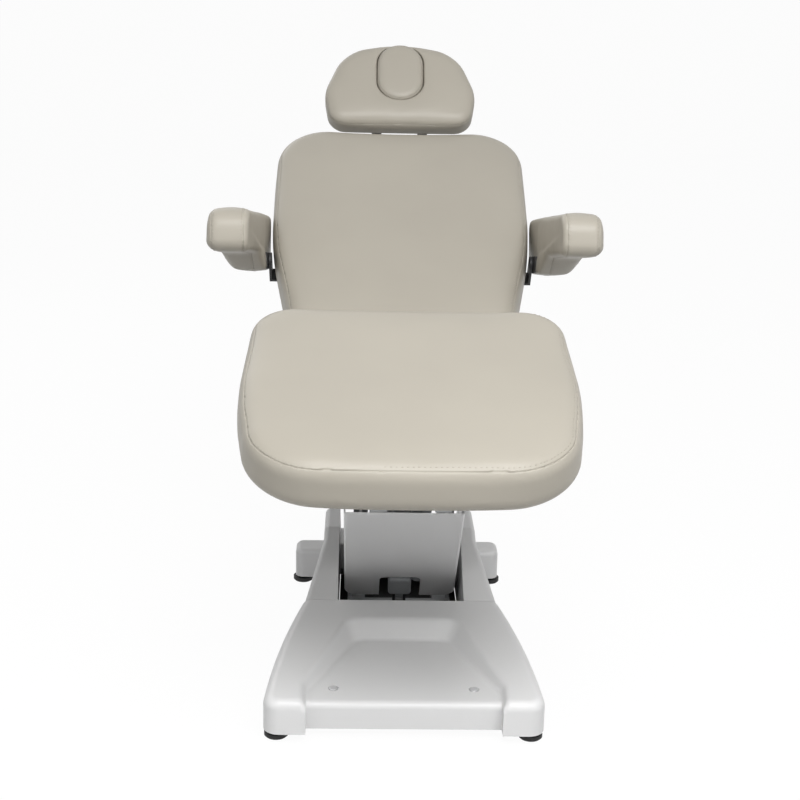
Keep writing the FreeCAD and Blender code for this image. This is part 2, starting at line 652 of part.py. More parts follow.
def drive(x, reach, tube, retract, motor_side, mount_bore, tip):
    """Housing and rod of a drive drawn along -Y from its mounting eye, with a bored tip or a cross pin."""
    body_end = DRIVE_NECK + DRIVE_BODY_LENGTH
    eye = mount_bore + DRIVE_EYE_RIM
    w = DRIVE_EYE_HALF_WIDTH
    body = box(x - DRIVE_BODY_HALF_WIDTH, x + DRIVE_BODY_HALF_WIDTH, -body_end, -DRIVE_NECK,
               -DRIVE_BODY_HALF_DEPTH, DRIVE_BODY_HALF_DEPTH)
    body = body.makeFillet(DRIVE_BODY_EDGE, body.Edges)
    motor_x = x + motor_side * DRIVE_MOTOR_OFFSET
    motor_end = -body_end - DRIVE_MOTOR_LENGTH
    motor = rod_y(motor_x, 0, motor_end, -DRIVE_MOTOR_START, DRIVE_MOTOR_RADIUS)
    neck = box(x - w, x + w, -body_end, 0, -w, w)
    mouth = -body_end - tube
    sleeve = rod_y(x, 0, mouth, -body_end + DRIVE_BODY_EDGE, DRIVE_TUBE_RADIUS)
    collar = rod_y(x, 0, mouth, mouth + DRIVE_COLLAR, DRIVE_TUBE_RADIUS + DRIVE_COLLAR_STEP)
    housing = fused([body, motor, neck, rod_x((0, 0), x - w, x + w, eye), sleeve, collar])
    housing = housing.cut(rod_y(x, 0, mouth, -body_end, DRIVE_ROD_RADIUS + DRIVE_ROD_FIT))
    housing = housing.cut(rod_x((0, 0), x - w, x + w, mount_bore + RUNNING_FIT))
    stem = rod_y(x, 0, -reach, -body_end - retract - DRIVE_ROD_END, DRIVE_ROD_RADIUS)
    if tip < 0:
        pin = rod_x((-reach, 0), x + tip, x - tip, DRIVE_PIN_RADIUS)
        rod = fused([stem, rod_x((-reach, 0), x - w, x + w, DRIVE_EYE), pin])
    else:
        rod = fused([stem, rod_x((-reach, 0), x - w, x + w, tip + DRIVE_EYE_RIM)])
        rod = rod.cut(rod_x((-reach, 0), x - w, x + w, tip))
    return housing, rod


def clevis(start, end, x, radius, gap):
    """Two plates and a cross pin that hold a drive's mounting eye."""
    plates = [bar_x(start, end, x + gap, x + gap + LEVER_WALL, radius)]
    plates.append(bar_x(start, end, x - gap - LEVER_WALL, x - gap, radius))
    pin = rod_x(end, x - gap - LEVER_WALL, x + gap + LEVER_WALL, DRIVE_PIN_RADIUS)
    return plates + [pin]


def lever(root, hinge, direction, near, far, x):
    """Two slotted plates that a rod's cross pin pushes."""
    first = (hinge[0] + direction[0] * near, hinge[1] + direction[1] * near)
    last = (hinge[0] + direction[0] * far, hinge[1] + direction[1] * far)
    plates = []
    for x0 in (x + LEVER_GAP, x - LEVER_GAP - LEVER_WALL):
        blank = fused([bar_x(root, last, x0, x0 + LEVER_WALL, LEVER_SLOT / 2 + LEVER_RIM),
                       bar_x(first, last, x0, x0 + LEVER_WALL, LEVER_SLOT / 2 + LEVER_RIM)])
        plates.append(blank.cut(bar_x(first, last, x0, x0 + LEVER_WALL, LEVER_SLOT / 2)))
    return plates


LEVER_PIN_HALF = LEVER_GAP + LEVER_WALL + 2 * RUNNING_FIT


def lift_drive():
    retract = LIFT_STROKE
    parts = drive(0, LIFT_SPAN, LIFT_TUBE, retract, 1, DRIVE_PIN_RADIUS, LIFT_PIN_RADIUS + LIFT_EYE_PLAY)
    return [turned(solid, (0, 0), -LIFT_RISE, LIFT_FOOT) for solid in parts]


def leg_drive():
    parts = drive(-SIDE_DRIVE_X, LEG_DRIVE_MOUNT, LEG_TUBE, LEG_STROKE, -1, DRIVE_PIN_RADIUS, -LEVER_PIN_HALF)
    at = on_seat(LEG_DRIVE_MOUNT, LEG_DRIVE_LEVEL)
    return [turned(solid, (0, 0), -SEAT_TILT, at) for solid in parts]


def back_drive():
    parts = drive(SIDE_DRIVE_X, BACK_SPAN, BACK_TUBE, BACK_STROKE, 1, DRIVE_PIN_RADIUS, -LEVER_PIN_HALF)
    at = on_seat(BACK_DRIVE_MOUNT, BACK_MOUNT_LEVEL)
    return [turned(solid, (0, 0), 180 + BACK_DRIVE_RISE - SEAT_TILT, at) for solid in parts]


def tilt_drive():
    tip = DRIVE_PIN_RADIUS + TILT_EYE_PLAY
    parts = drive(0, TILT_DRIVE_LENGTH, TILT_TUBE, TILT_STROKE, 1, SHAFT_RADIUS, tip)
    return [turned(solid, (0, 0), -TILT_DRIVE_RISE, TILT_MOUNT) for solid in parts]


# Section frames


def rail(x, y0, y1, z0, z1):
    return box(x - RAIL / 2, x + RAIL / 2, y0, y1, z0, z1)


def cross(y, half_width, z0, z1):
    return box(-half_width, half_width, y - RAIL / 2, y + RAIL / 2, z0, z1)


def seat_frame():
    inner = SEAT_RAIL_X - RAIL / 2
    outer = SEAT_RAIL_X + RAIL / 2
    hinge = (0, LEG_HINGE_LEVEL)
    side = [rail(SEAT_RAIL_X, 0, SEAT_RAIL_END, -RAIL, 0), rod_x(hinge, inner, outer, RAIL / 2)]
    tilt_eye = (TILT_ALONG, TILT_LEVEL)
    eye = SHAFT_RADIUS + DRIVE_EYE_RIM
    side.append(bar_x((TILT_ALONG, -eye), tilt_eye, inner, outer, eye))
    back_eye = (BACK_HINGE_ALONG, BACK_HINGE_LEVEL)
    side.append(bar_x((BACK_HINGE_ALONG, -RAIL / 2), back_eye, inner, inner + HINGE_PLATE, HINGE_EYE))
    half = fused(side)
    for point, radius in ((hinge, HINGE_PIN_RADIUS), (tilt_eye, SHAFT_RADIUS), (back_eye, HINGE_PIN_RADIUS)):
        half = half.cut(rod_x(point, 0, SHAFT_END_X, radius + RUNNING_FIT))
    members = [cross(y, inner, -RAIL, 0) for y in (SEAT_CROSS_FRONT, SEAT_CROSS_MIDDLE, SEAT_CROSS_REAR)]
    gap = DRIVE_EYE_HALF_WIDTH + RUNNING_FIT
    leg_mount = (LEG_DRIVE_MOUNT, LEG_DRIVE_LEVEL)
    back_mount = (BACK_DRIVE_MOUNT, BACK_MOUNT_LEVEL)
    members += clevis((SEAT_CROSS_REAR, -RAIL / 2), leg_mount, -SIDE_DRIVE_X, DRIVE_EYE, gap)
    members += clevis((SEAT_CROSS_FRONT, -RAIL / 2), back_mount, SIDE_DRIVE_X, DRIVE_EYE, gap)
    tilt_lug = (TILT_LUG_ALONG, TILT_LUG_LEVEL)
    members += clevis((SEAT_CROSS_FRONT, -RAIL / 2), tilt_lug, 0, DRIVE_EYE, gap)
    return place_seat(fused(both_sides(half) + members))


def hinge_pins(at, x0):
    pin = rod_x(at, x0, SEAT_RAIL_X + RAIL / 2, HINGE_PIN_RADIUS)
    return Part.makeCompound(both_sides(pin))


def leg_frame():
    hinge = (0, LEG_HINGE_LEVEL)
    top = LEG_RISE
    bottom = LEG_RISE - RAIL
    inner = INNER_RAIL_X - RAIL / 2
    outer = INNER_RAIL_X + RAIL / 2
    side = [rail(INNER_RAIL_X, -LEG_RAIL_END, 0, bottom, top)]
    side.append(rod_x(hinge, inner, outer, RAIL / 2 - LEG_RISE))
    half = fused(side).cut(rod_x(hinge, 0, SHAFT_END_X, HINGE_PIN_RADIUS + RUNNING_FIT))
    members = [cross(-y, inner, bottom, top) for y in (LEG_CROSS_NEAR, LEG_CROSS_FAR)]
    bend = math.radians(KNEE_BEND)
    direction = (-math.sin(bend), -math.cos(bend))
    root = (-LEG_CROSS_NEAR, (bottom + top) / 2)
    members += lever(root, hinge, direction, LEG_LEVER, LEG_LEVER_REACH, -SIDE_DRIVE_X)
    return place_leg(fused(both_sides(half) + members))


def back_frame():
    hinge = (0, BACK_HINGE_LEVEL)
    inner = INNER_RAIL_X - RAIL / 2
    outer = INNER_RAIL_X + RAIL / 2
    side = [rail(INNER_RAIL_X, 0, BACK_RAIL_END, -RAIL, 0)]
    side.append(bar_x((0, -RAIL / 2), hinge, outer - HINGE_PLATE, outer, HINGE_EYE))
    half = fused(side).cut(rod_x(hinge, 0, SHAFT_END_X, HINGE_PIN_RADIUS + RUNNING_FIT))
    members = [cross(y, inner, -RAIL, 0) for y in (BACK_CROSS_NEAR, BACK_CROSS_FAR)]
    swing = math.radians(BACK_LEVER_NEUTRAL - BACK_DRIVE_RISE)
    direction = (-math.sin(swing), -math.cos(swing))
    root = (BACK_CROSS_NEAR, -RAIL / 2)
    members += lever(root, hinge, direction, BACK_LEVER, BACK_LEVER_REACH, SIDE_DRIVE_X)
    return place_back(fused(both_sides(half) + members))


def headrest_posts():
    x = POST_SPACING / 2
    y1 = HEAD_HINGE_ALONG
    z = HEAD_HINGE_LEVEL
    rods = [rod_y(side * x, z, y1 - POST_DEPTH, y1, POST_RADIUS) for side in (-1, 1)]
    bar = rod_x((y1, z), -x - POST_BAR_RADIUS, x + POST_BAR_RADIUS, POST_BAR_RADIUS)
    return place_back(fused(rods + [bar]))


def headrest_guides():
    x = POST_SPACING / 2
    reach = POST_RADIUS + GUIDE_WALL
    y1 = BACK_PAD_END - BOARD_INSET - BACK_PAD_TOP_DIP
    block = box(x - reach, x + reach, y1 - GUIDE_LENGTH, y1, HEAD_HINGE_LEVEL - reach, 0)
    block = block.makeFillet(GUIDE_WALL / 2, [e for e in block.Edges if e.BoundBox.ZMax < -GUIDE_WALL])
    block = block.cut(rod_y(x, HEAD_HINGE_LEVEL, y1 - GUIDE_LENGTH, y1, POST_RADIUS + RUNNING_FIT))
    return Part.makeCompound([place_back(solid) for solid in both_sides(block)])


# Lifting linkage


def lift_arm():
    x0 = ARM_X - ARM_THICKNESS / 2
    x1 = ARM_X + ARM_THICKNESS / 2
    bar = bar_x((0, 0), (-ARM_LENGTH, 0), x0, x1, ARM_DEPTH / 2)
    for along, stand in ARM_CROSS_PLACES:
        bar = bar.cut(rod_x((-along, stand), x0, ARM_X, CROSS_TUBE_RADIUS))
    head = (-LIFT_HEAD_ALONG, LIFT_HEAD_STAND)
    lug = bar_x((-LIFT_HEAD_ALONG, 0), head, x0, ARM_X, LIFT_PIN_RADIUS + DRIVE_EYE_RIM)
    arm = fused([bar, lug]).cut(rod_x(head, x0, ARM_X, LIFT_PIN_RADIUS + RUNNING_FIT))
    for y in (0, -ARM_LENGTH):
        arm = arm.cut(rod_x((y, 0), x0, x1, SHAFT_RADIUS + BUSH_WALL))
    return place_arm(arm)


def arm_bushes():
    x0 = ARM_X - ARM_THICKNESS / 2
    x1 = ARM_X + ARM_THICKNESS / 2
    outer = SHAFT_RADIUS + BUSH_WALL
    bushes = []
    for y in (0, -ARM_LENGTH):
        ring = fused([rod_x((y, 0), x0, x1, outer), rod_x((y, 0), x1, x1 + BUSH_FLANGE, outer + BUSH_WALL)])
        ring = ring.cut(rod_x((y, 0), x0, x1 + BUSH_FLANGE, SHAFT_RADIUS + RUNNING_FIT))
        bushes += [place_arm(solid) for solid in both_sides(ring)]
    return Part.makeCompound(bushes)


def arm_cross_tubes():
    tubes = []
    for along, stand in ARM_CROSS_PLACES:
        tube = rod_x((-along, stand), -ARM_X, ARM_X, CROSS_TUBE_RADIUS)
        bore = rod_x((-along, stand), -ARM_X, ARM_X, CROSS_TUBE_RADIUS - CROSS_TUBE_WALL)
        tubes.append(place_arm(tube.cut(bore)))
    return Part.makeCompound(tubes)


def lift_pin():
    return place_arm(rod_x((-LIFT_HEAD_ALONG, LIFT_HEAD_STAND), -ARM_X, ARM_X, LIFT_PIN_RADIUS))


def lift_arm_cover():
    """Moulded front plate of the lifting arm: side flanges, ribs onto the arms, cut-out at its foot."""
    w = ARM_COVER_HALF_WIDTH
    y0 = -ARM_COVER_HIGH
    y1 = -ARM_COVER_LOW
    z0 = -ARM_COVER_STAND - ARM_COVER_WALL
    outer = box(-w, w, y0, y1, z0, z0 + ARM_COVER_FLANGE)
    lower = [e for e in outer.Edges if e.BoundBox.YMin > y1 - RUNNING_FIT]
    lower = [e for e in lower if e.BoundBox.XLength < RUNNING_FIT]
    outer = outer.makeFillet(ARM_COVER_CORNER, lower)
    front = [e for e in outer.Edges if e.BoundBox.ZMax < z0 + RUNNING_FIT]
    outer = outer.makeFillet(2 * ARM_COVER_WALL, front)
    t = ARM_COVER_WALL
    hollow = box(t - w, w - t, y0 - t, y1 + t, z0 + t, z0 + 2 * ARM_COVER_FLANGE)
    cut = box(-ARM_COVER_CUT_HALF_WIDTH, ARM_COVER_CUT_HALF_WIDTH, -ARM_COVER_CUT_TOP, y1 + t, z0 - t, 0)
    upright = [e for e in cut.Edges if e.BoundBox.ZLength > t and e.BoundBox.YMax < y1]
    cut = cut.makeFillet(ARM_COVER_CORNER / 2, upright)
    shell = outer.cut(hollow).cut(cut)
    rib = box(ARM_X - t, ARM_X + t, t - ARM_LENGTH, -ARM_DEPTH, z0 + t, -ARM_DEPTH / 2)
    return place_arm(fused([shell] + both_sides(rib)))


def upper_link():
    inner = LINK_X - LINK_THICKNESS / 2
    side = bar_x((0, 0), (-ARM_LENGTH, 0), inner, inner + LINK_THICKNESS, LINK_DEPTH / 2)
    for y in (0, -ARM_LENGTH):
        side = side.cut(rod_x((y, 0), 0, SHAFT_END_X, SHAFT_RADIUS + RUNNING_FIT))
    web = box(-inner, inner, 2 * LINK_DEPTH - ARM_LENGTH, -2 * LINK_DEPTH, -LINK_WEB / 2, LINK_WEB / 2)
    return turned(fused(both_sides(side) + [web]), (0, 0), -ARM_ANGLE, LINK_FOOT)


def carrier_plate():
    x0 = CARRIER_X
    x1 = CARRIER_X + CARRIER_WALL
    corners = [ARM_HEAD, LINK_HEAD, TILT_PIVOT]
    pieces = [plate_x(corners, x0, x1)]
    pieces.append(bar_x(LINK_HEAD, TILT_PIVOT, x0, x1, CARRIER_EYE))
    for end in (LINK_HEAD, TILT_PIVOT, TILT_MOUNT):
        pieces.append(bar_x(ARM_HEAD, end, x0, x1, CARRIER_EYE))
    plate = fused(pieces)
    for point in (ARM_HEAD, LINK_HEAD, TILT_PIVOT, TILT_MOUNT):
        plate = plate.cut(rod_x(point, x0, x1, SHAFT_RADIUS + RUNNING_FIT))
    return plate


def shafts(points):
    return Part.makeCompound([rod_x(point, -SHAFT_END_X, SHAFT_END_X, SHAFT_RADIUS) for point in points])


# Base frame and feet


def base_frame():
    z0 = BEAM_BOTTOM
    z1 = BEAM_BOTTOM + BEAM_HEIGHT
    half = BEAM_WIDTH / 2
    pieces = []
    front_y = FRONT_Y + LEG_AHEAD + COVER_WALL + FRAME_CLEARANCE + half
    for y, x, beam_y in ((FRONT_FOOT_Y, FRONT_FOOT_X, front_y), (REAR_FOOT_Y, REAR_FOOT_X, REAR_FOOT_Y)):
        reach = x + FOOT_STEM_RADIUS * 2
        beam = box(-reach, reach, beam_y - half, beam_y + half, z0, z1)
        for side in (-1, 1):
            pad = box(-FOOT_STEM_RADIUS * 2, FOOT_STEM_RADIUS * 2, y - half, y + half, z0, z1)
            pad.translate(V(side * x, 0, 0))
            beam = fused([beam, pad])
            stem = Part.makeCylinder(FOOT_STEM_RADIUS + RUNNING_FIT, BEAM_HEIGHT, V(side * x, y, z0))
            beam = beam.cut(stem)
        pieces.append(beam)
    for side in (-1, 1):
        x = side * BASE_RAIL_X
        pieces.append(box(x - half, x + half, front_y, REAR_FOOT_Y, z0, z1))
    inner = BASE_RAIL_X - half
    pieces.append(box(-inner, inner, LIFT_FOOT[0] - half, LIFT_FOOT[0] + half, z0, z1))
    return fused(pieces)


def base_bracket():
    x0 = BRACKET_X
    x1 = BRACKET_X + BRACKET_WALL
    z0 = BEAM_BOTTOM + BEAM_HEIGHT
    corners = [(BRACKET_FOOT_FRONT, z0), (BRACKET_FOOT_REAR, z0), (LINK_FOOT[0] + BRACKET_EYE, LINK_FOOT[1])]
    corners += [LINK_FOOT, ARM_FOOT, (ARM_FOOT[0] - BRACKET_EYE, ARM_FOOT[1])]
    plate = fused([plate_x(corners, x0, x1), bar_x(ARM_FOOT, LINK_FOOT, x0, x1, BRACKET_EYE)])
    for point in (ARM_FOOT, LINK_FOOT):
        plate = plate.cut(rod_x(point, x0, x1, SHAFT_RADIUS + RUNNING_FIT))
    return plate


def lift_clevis():
    z0 = BEAM_BOTTOM + BEAM_HEIGHT
    gap = DRIVE_EYE_HALF_WIDTH + RUNNING_FIT
    foot = box(-gap - LEVER_WALL, gap + LEVER_WALL, LIFT_FOOT[0] - CLEVIS_HALF_LENGTH / 2,
               LIFT_FOOT[0] + CLEVIS_HALF_LENGTH / 2, z0, z0 + CLEVIS_FOOT)
    return fused([foot] + clevis((LIFT_FOOT[0], z0 + DRIVE_EYE), LIFT_FOOT, 0, DRIVE_EYE, gap))


def stop_blocks():
    z0 = BEAM_BOTTOM + BEAM_HEIGHT
    half = STOP_SIZE / 2
    block = box(STOP_X - half, STOP_X + half, STOP_Y - half, STOP_Y + half, z0, z0 + STOP_HEIGHT)
    top = [e for e in block.Edges if e.BoundBox.ZMin > z0 + STOP_HEIGHT - RUNNING_FIT]
    return Part.makeCompound(both_sides(block.makeFillet(STOP_EDGE, top)))


def foot(x, y):
    """Levelling foot: domed rubber pad, neck and threaded stem, turned about its axis."""
    profile = [(0, 0), (FOOT_RADIUS - FOOT_EDGE, 0), (FOOT_RADIUS, FOOT_EDGE)]
    profile += [(FOOT_RADIUS, FOOT_HEIGHT - FOOT_EDGE), (FOOT_NECK_RADIUS, FOOT_HEIGHT)]
    profile += [(FOOT_NECK_RADIUS, BEAM_BOTTOM), (FOOT_STEM_RADIUS, BEAM_BOTTOM)]
    profile += [(FOOT_STEM_RADIUS, FOOT_STEM_TOP), (0, FOOT_STEM_TOP)]
    corners = [V(r, 0, z) for r, z in profile]
    face = Part.Face(Part.makePolygon(corners + corners[:1]))
    solid = face.revolve(V(0, 0, 0), V(0, 0, 1), 360)
    solid.translate(V(x, y, 0))
    return solid


# Base covers


def front_block(inset):
    """Outer form of the front cover, drawn in by a wall thickness for its hollow."""
    z0 = COVER_BOTTOM - inset
    corners = [(FRONT_HALF_WIDTH - inset, FRONT_Y + inset), (SIDE_BULGE_HALF_WIDTH - inset, SIDE_BULGE_Y)]
    corners.append((PARTING_HALF_WIDTH - inset, PARTING_Y - inset))
    right = [V(x, y, z0) for x, y in corners]
    left = [V(-x, y, z0) for x, y in corners]
    edges = [Part.LineSegment(left[0], right[0]).toShape(), Part.Arc(*right).toShape()]
    edges += [Part.LineSegment(right[2], left[2]).toShape(), Part.Arc(*reversed(left)).toShape()]
    block = Part.Face(Part.Wire(edges)).extrude(V(0, 0, PARTING_TOP))
    slope = [(FRONT_Y - COVER_EDGE, FRONT_TOP - inset), (PARTING_Y, PARTING_TOP - inset)]
    slope += [(PARTING_Y, 2 * PARTING_TOP), (FRONT_Y - COVER_EDGE, 2 * PARTING_TOP)]
    block = block.cut(plate_x(slope, -FRONT_HALF_WIDTH, FRONT_HALF_WIDTH))
    upright = [e for e in block.Edges if e.BoundBox.ZLength > FRONT_TOP / 2]
    upright = [e for e in upright if e.BoundBox.YMax < SIDE_BULGE_Y]
    block = block.makeFillet(COVER_CORNER - inset, upright)
    rim = [e for e in block.Edges if e.BoundBox.ZMin > COVER_BOTTOM + COVER_EDGE]
    rim = [e for e in rim if e.BoundBox.YMin < PARTING_Y - 2 * inset - RUNNING_FIT]
    return block.makeFillet(COVER_EDGE - inset, rim)


def pan(spread):
    """Sloped recess between the front legs, open to the front."""
    wires = []
    for level, out in ((PAN_LEVEL - spread, spread), (PAN_LEVEL + PAN_WALL_RISE, spread + PAN_WALL_SPREAD)):
        corners = mirror_corners([
            (PAN_FRONT_HALF_WIDTH + out, FRONT_Y - COVER_EDGE, MIN_CORNER),
            (PAN_FRONT_HALF_WIDTH + out, FRONT_Y + LEG_AHEAD + PAN_TURN, PAN_TURN),
            (PAN_REAR_HALF_WIDTH + out, PAN_REAR_Y + out, PAN_CORNER),
        ])
        wires.append(rounded_wire(corners, 0, level))
    return Part.makeLoft(wires, True, True)


def soft_pan(form):
    """Rounds the foot and the brim of the pan's walls."""
    crease = [e for e in form.Edges if abs(e.BoundBox.ZMax - PAN_LEVEL) < RUNNING_FIT]
    crease = [e for e in crease if e.BoundBox.ZLength < RUNNING_FIT and e.BoundBox.YMax > FRONT_Y + COVER_EDGE]
    form = form.makeFillet(PAN_CREASE, crease)
    brim = [e for e in form.Edges if e.BoundBox.ZMin > PAN_LEVEL + PAN_CREASE]
    brim = [e for e in brim if e.BoundBox.ZLength < e.Length / 2]
    brim = [e for e in brim if FRONT_Y + LEG_AHEAD + PAN_TURN < e.BoundBox.YMax < PARTING_Y - COVER_EDGE]
    brim = [e for e in brim if abs(e.CenterOfMass.x) < PAN_FRONT_HALF_WIDTH + PAN_BRIM]
    return form.makeFillet(PAN_BRIM, brim)


def front_form(inset):
    """Front cover as a closed form: the legs stand ahead of the pan between them, which ends in a round lip."""
    form = front_block(inset).cut(pan(inset))
    if inset == 0:
        form = soft_pan(form)
    half = PAN_FRONT_HALF_WIDTH + inset
    lip_y = FRONT_Y + LEG_AHEAD + inset
    form = form.cut(box(-half, half, FRONT_Y - COVER_EDGE, lip_y, 0, PARTING_TOP))
    lip = [e for e in form.Edges if abs(e.BoundBox.YMin - lip_y) + e.BoundBox.YLength < RUNNING_FIT]
    lip = [e for e in lip if e.BoundBox.XLength > half and e.BoundBox.ZMin > COVER_BOTTOM + RUNNING_FIT]
    return form.makeFillet(PAN_LIP - inset, lip)


def rail_notches():
    half = BEAM_WIDTH / 2 + COVER_WALL
    top = BEAM_BOTTOM + BEAM_HEIGHT + COVER_WALL
    notch = box(BASE_RAIL_X - half, BASE_RAIL_X + half, PARTING_Y - 2 * COVER_WALL, PARTING_Y, 0, top)
    return both_sides(notch)


def screw_place(side):
    return V(side * SCREW_X, SCREW_Y, 0)


def front_cover():
    shell = front_form(0).cut(front_form(COVER_WALL))
    for notch in rail_notches():
        shell = shell.cut(notch)
    for side in (-1, 1):
        at = screw_place(side)
        seat = at + V(0, 0, PAN_LEVEL - SCREW_SEAT)
        shell = shell.cut(Part.makeCylinder(SCREW_RADIUS + SCREW_SEAT, SCREW_SEAT, seat))
        shell = shell.cut(Part.makeCylinder(SCREW_SHANK + RUNNING_FIT, PAN_LEVEL, at))
    return shell


def cover_screws():
    screws = []
    for side in (-1, 1):
        seat = screw_place(side) + V(0, 0, PAN_LEVEL - SCREW_SEAT)
        head = Part.makeCylinder(SCREW_RADIUS, SCREW_HEAD, seat)
        rim = [e for e in head.Edges if e.BoundBox.ZMin > seat.z + SCREW_HEAD / 2]
        head = head.makeFillet(SCREW_HEAD / 2, rim)
        shank = Part.makeCylinder(SCREW_SHANK, SCREW_LENGTH, seat - V(0, 0, SCREW_LENGTH))
        screws.append(fused([head, shank]))
    return Part.makeCompound(screws)


def cover_post(side):
    """Lug on the front beam that a cover screw bites into."""
    z1 = BEAM_BOTTOM + BEAM_HEIGHT
    at = screw_place(side)
    reach = SCREW_RADIUS + SCREW_SEAT
    tab = box(at.x - reach, at.x + reach, FRONT_FOOT_Y, SCREW_Y + reach, z1 - POST_TAB, z1)
    post = Part.makeCylinder(SCREW_RADIUS, PAN_LEVEL - COVER_WALL - z1, at + V(0, 0, z1))
    hole = Part.makeCylinder(SCREW_SHANK, PAN_LEVEL, at)
    return tab.fuse(post).cut(hole)


def cheek_block(inset):
    z0 = COVER_BOTTOM - inset
    y0 = PARTING_Y + PARTING_GAP + inset
    y1 = REAR_Y - inset
    side_view = [(y0, z0), (y0, PARTING_TOP - inset), (CHEEK_CREST_FRONT, CHEEK_TOP - inset)]
    side_view += [(CHEEK_CREST_REAR, CHEEK_TOP - inset), (y1, REAR_TOP - inset), (y1, z0)]
    block = plate_x(side_view, CHEEK_INNER_X + inset, OUTRIGGER_X)
    x0 = CHEEK_INNER_X + inset
    wires = []
    for level, out in ((z0, 0), (CHEEK_TOP, -CHEEK_LEAN)):
        plan = [(x0, y0), (CHEEK_PARTING_X - inset + out, y0), (CHEEK_REAR_X - inset + out, CHEEK_TAPER_Y)]
        plan += [(CHEEK_REAR_X - inset + out, y1), (x0, y1)]
        corners = [V(x, y, level) for x, y in plan]
        wires.append(Part.makePolygon(corners + corners[:1]))
    block = block.common(Part.makeLoft(wires, True, True))
    if inset == 0:
        crest = [e for e in block.Edges if e.BoundBox.ZMax > PARTING_TOP]
        crest = [e for e in crest if e.BoundBox.XMin > x0 + RUNNING_FIT and e.BoundBox.YLength > CHEEK_EDGE]
        block = block.makeFillet(CHEEK_EDGE, crest)
    outrigger = box(x0, OUTRIGGER_X - inset, OUTRIGGER_FRONT + inset, y1, z0, OUTRIGGER_TOP - inset)
    outer = [e for e in outrigger.Edges if e.BoundBox.XMin > x0 + RUNNING_FIT]
    outer = [e for e in outer if e.BoundBox.ZLength > COVER_EDGE]
    outrigger = outrigger.makeFillet(COVER_EDGE - inset, outer)
    top = [e for e in outrigger.Edges if e.BoundBox.ZMin > OUTRIGGER_TOP - inset - RUNNING_FIT]
    top = [e for e in top if e.BoundBox.XMax > x0 + RUNNING_FIT]
    outrigger = outrigger.makeFillet(CHEEK_EDGE - inset, top)
    return fused([block, outrigger])


def rear_cover():
    shell = cheek_block(0).cut(cheek_block(COVER_WALL))
    half = BEAM_WIDTH / 2 + COVER_WALL
    top = BEAM_BOTTOM + BEAM_HEIGHT + COVER_WALL
    return shell.cut(box(0, CHEEK_INNER_X + COVER_WALL, REAR_FOOT_Y - half, REAR_FOOT_Y + half, 0, top))


def rear_deck():
    """Cover over the control box: front lip, top and rear wall."""
    t = COVER_WALL
    lip = BEAM_BOTTOM + BEAM_HEIGHT + COVER_WALL
    profile = [(DECK_FRONT, lip), (DECK_FRONT, REAR_TOP), (REAR_Y, REAR_TOP), (REAR_Y, COVER_BOTTOM)]
    profile += [(REAR_Y - t, COVER_BOTTOM), (REAR_Y - t, REAR_TOP - t), (DECK_FRONT + t, REAR_TOP - t)]
    profile.append((DECK_FRONT + t, lip))
    half = CHEEK_INNER_X - DECK_GAP
    deck = plate_x(profile, -half, half)
    edges = [e for e in deck.Edges if e.BoundBox.ZMin > REAR_TOP - RUNNING_FIT and e.BoundBox.XLength > half]
    deck = deck.makeFillet(t, edges)
    return deck.cut(inlet_body(0))


def inlet_body(stand):
    w = INLET_WIDTH / 2
    h = INLET_HEIGHT / 2
    return box(-w, w, REAR_Y - INLET_DEPTH, REAR_Y + stand, INLET_LEVEL - h, INLET_LEVEL + h)


def mains_inlet():
    w = INLET_WIDTH / 2 - INLET_STAND
    h = INLET_HEIGHT / 2 - INLET_STAND
    socket = box(-w, w, REAR_Y - INLET_DEPTH / 2, REAR_Y + INLET_STAND, INLET_LEVEL - h, INLET_LEVEL + h)
    return inlet_body(INLET_STAND).cut(socket)


def control_box():
    z0 = BEAM_BOTTOM + BEAM_HEIGHT
    case = box(-CONTROL_HALF_WIDTH, CONTROL_HALF_WIDTH, CONTROL_FRONT, CONTROL_REAR, z0, z0 + CONTROL_HEIGHT)
    return case.makeFillet(CONTROL_EDGE, [e for e in case.Edges if e.BoundBox.ZMax > z0 + RUNNING_FIT])


# Assembly


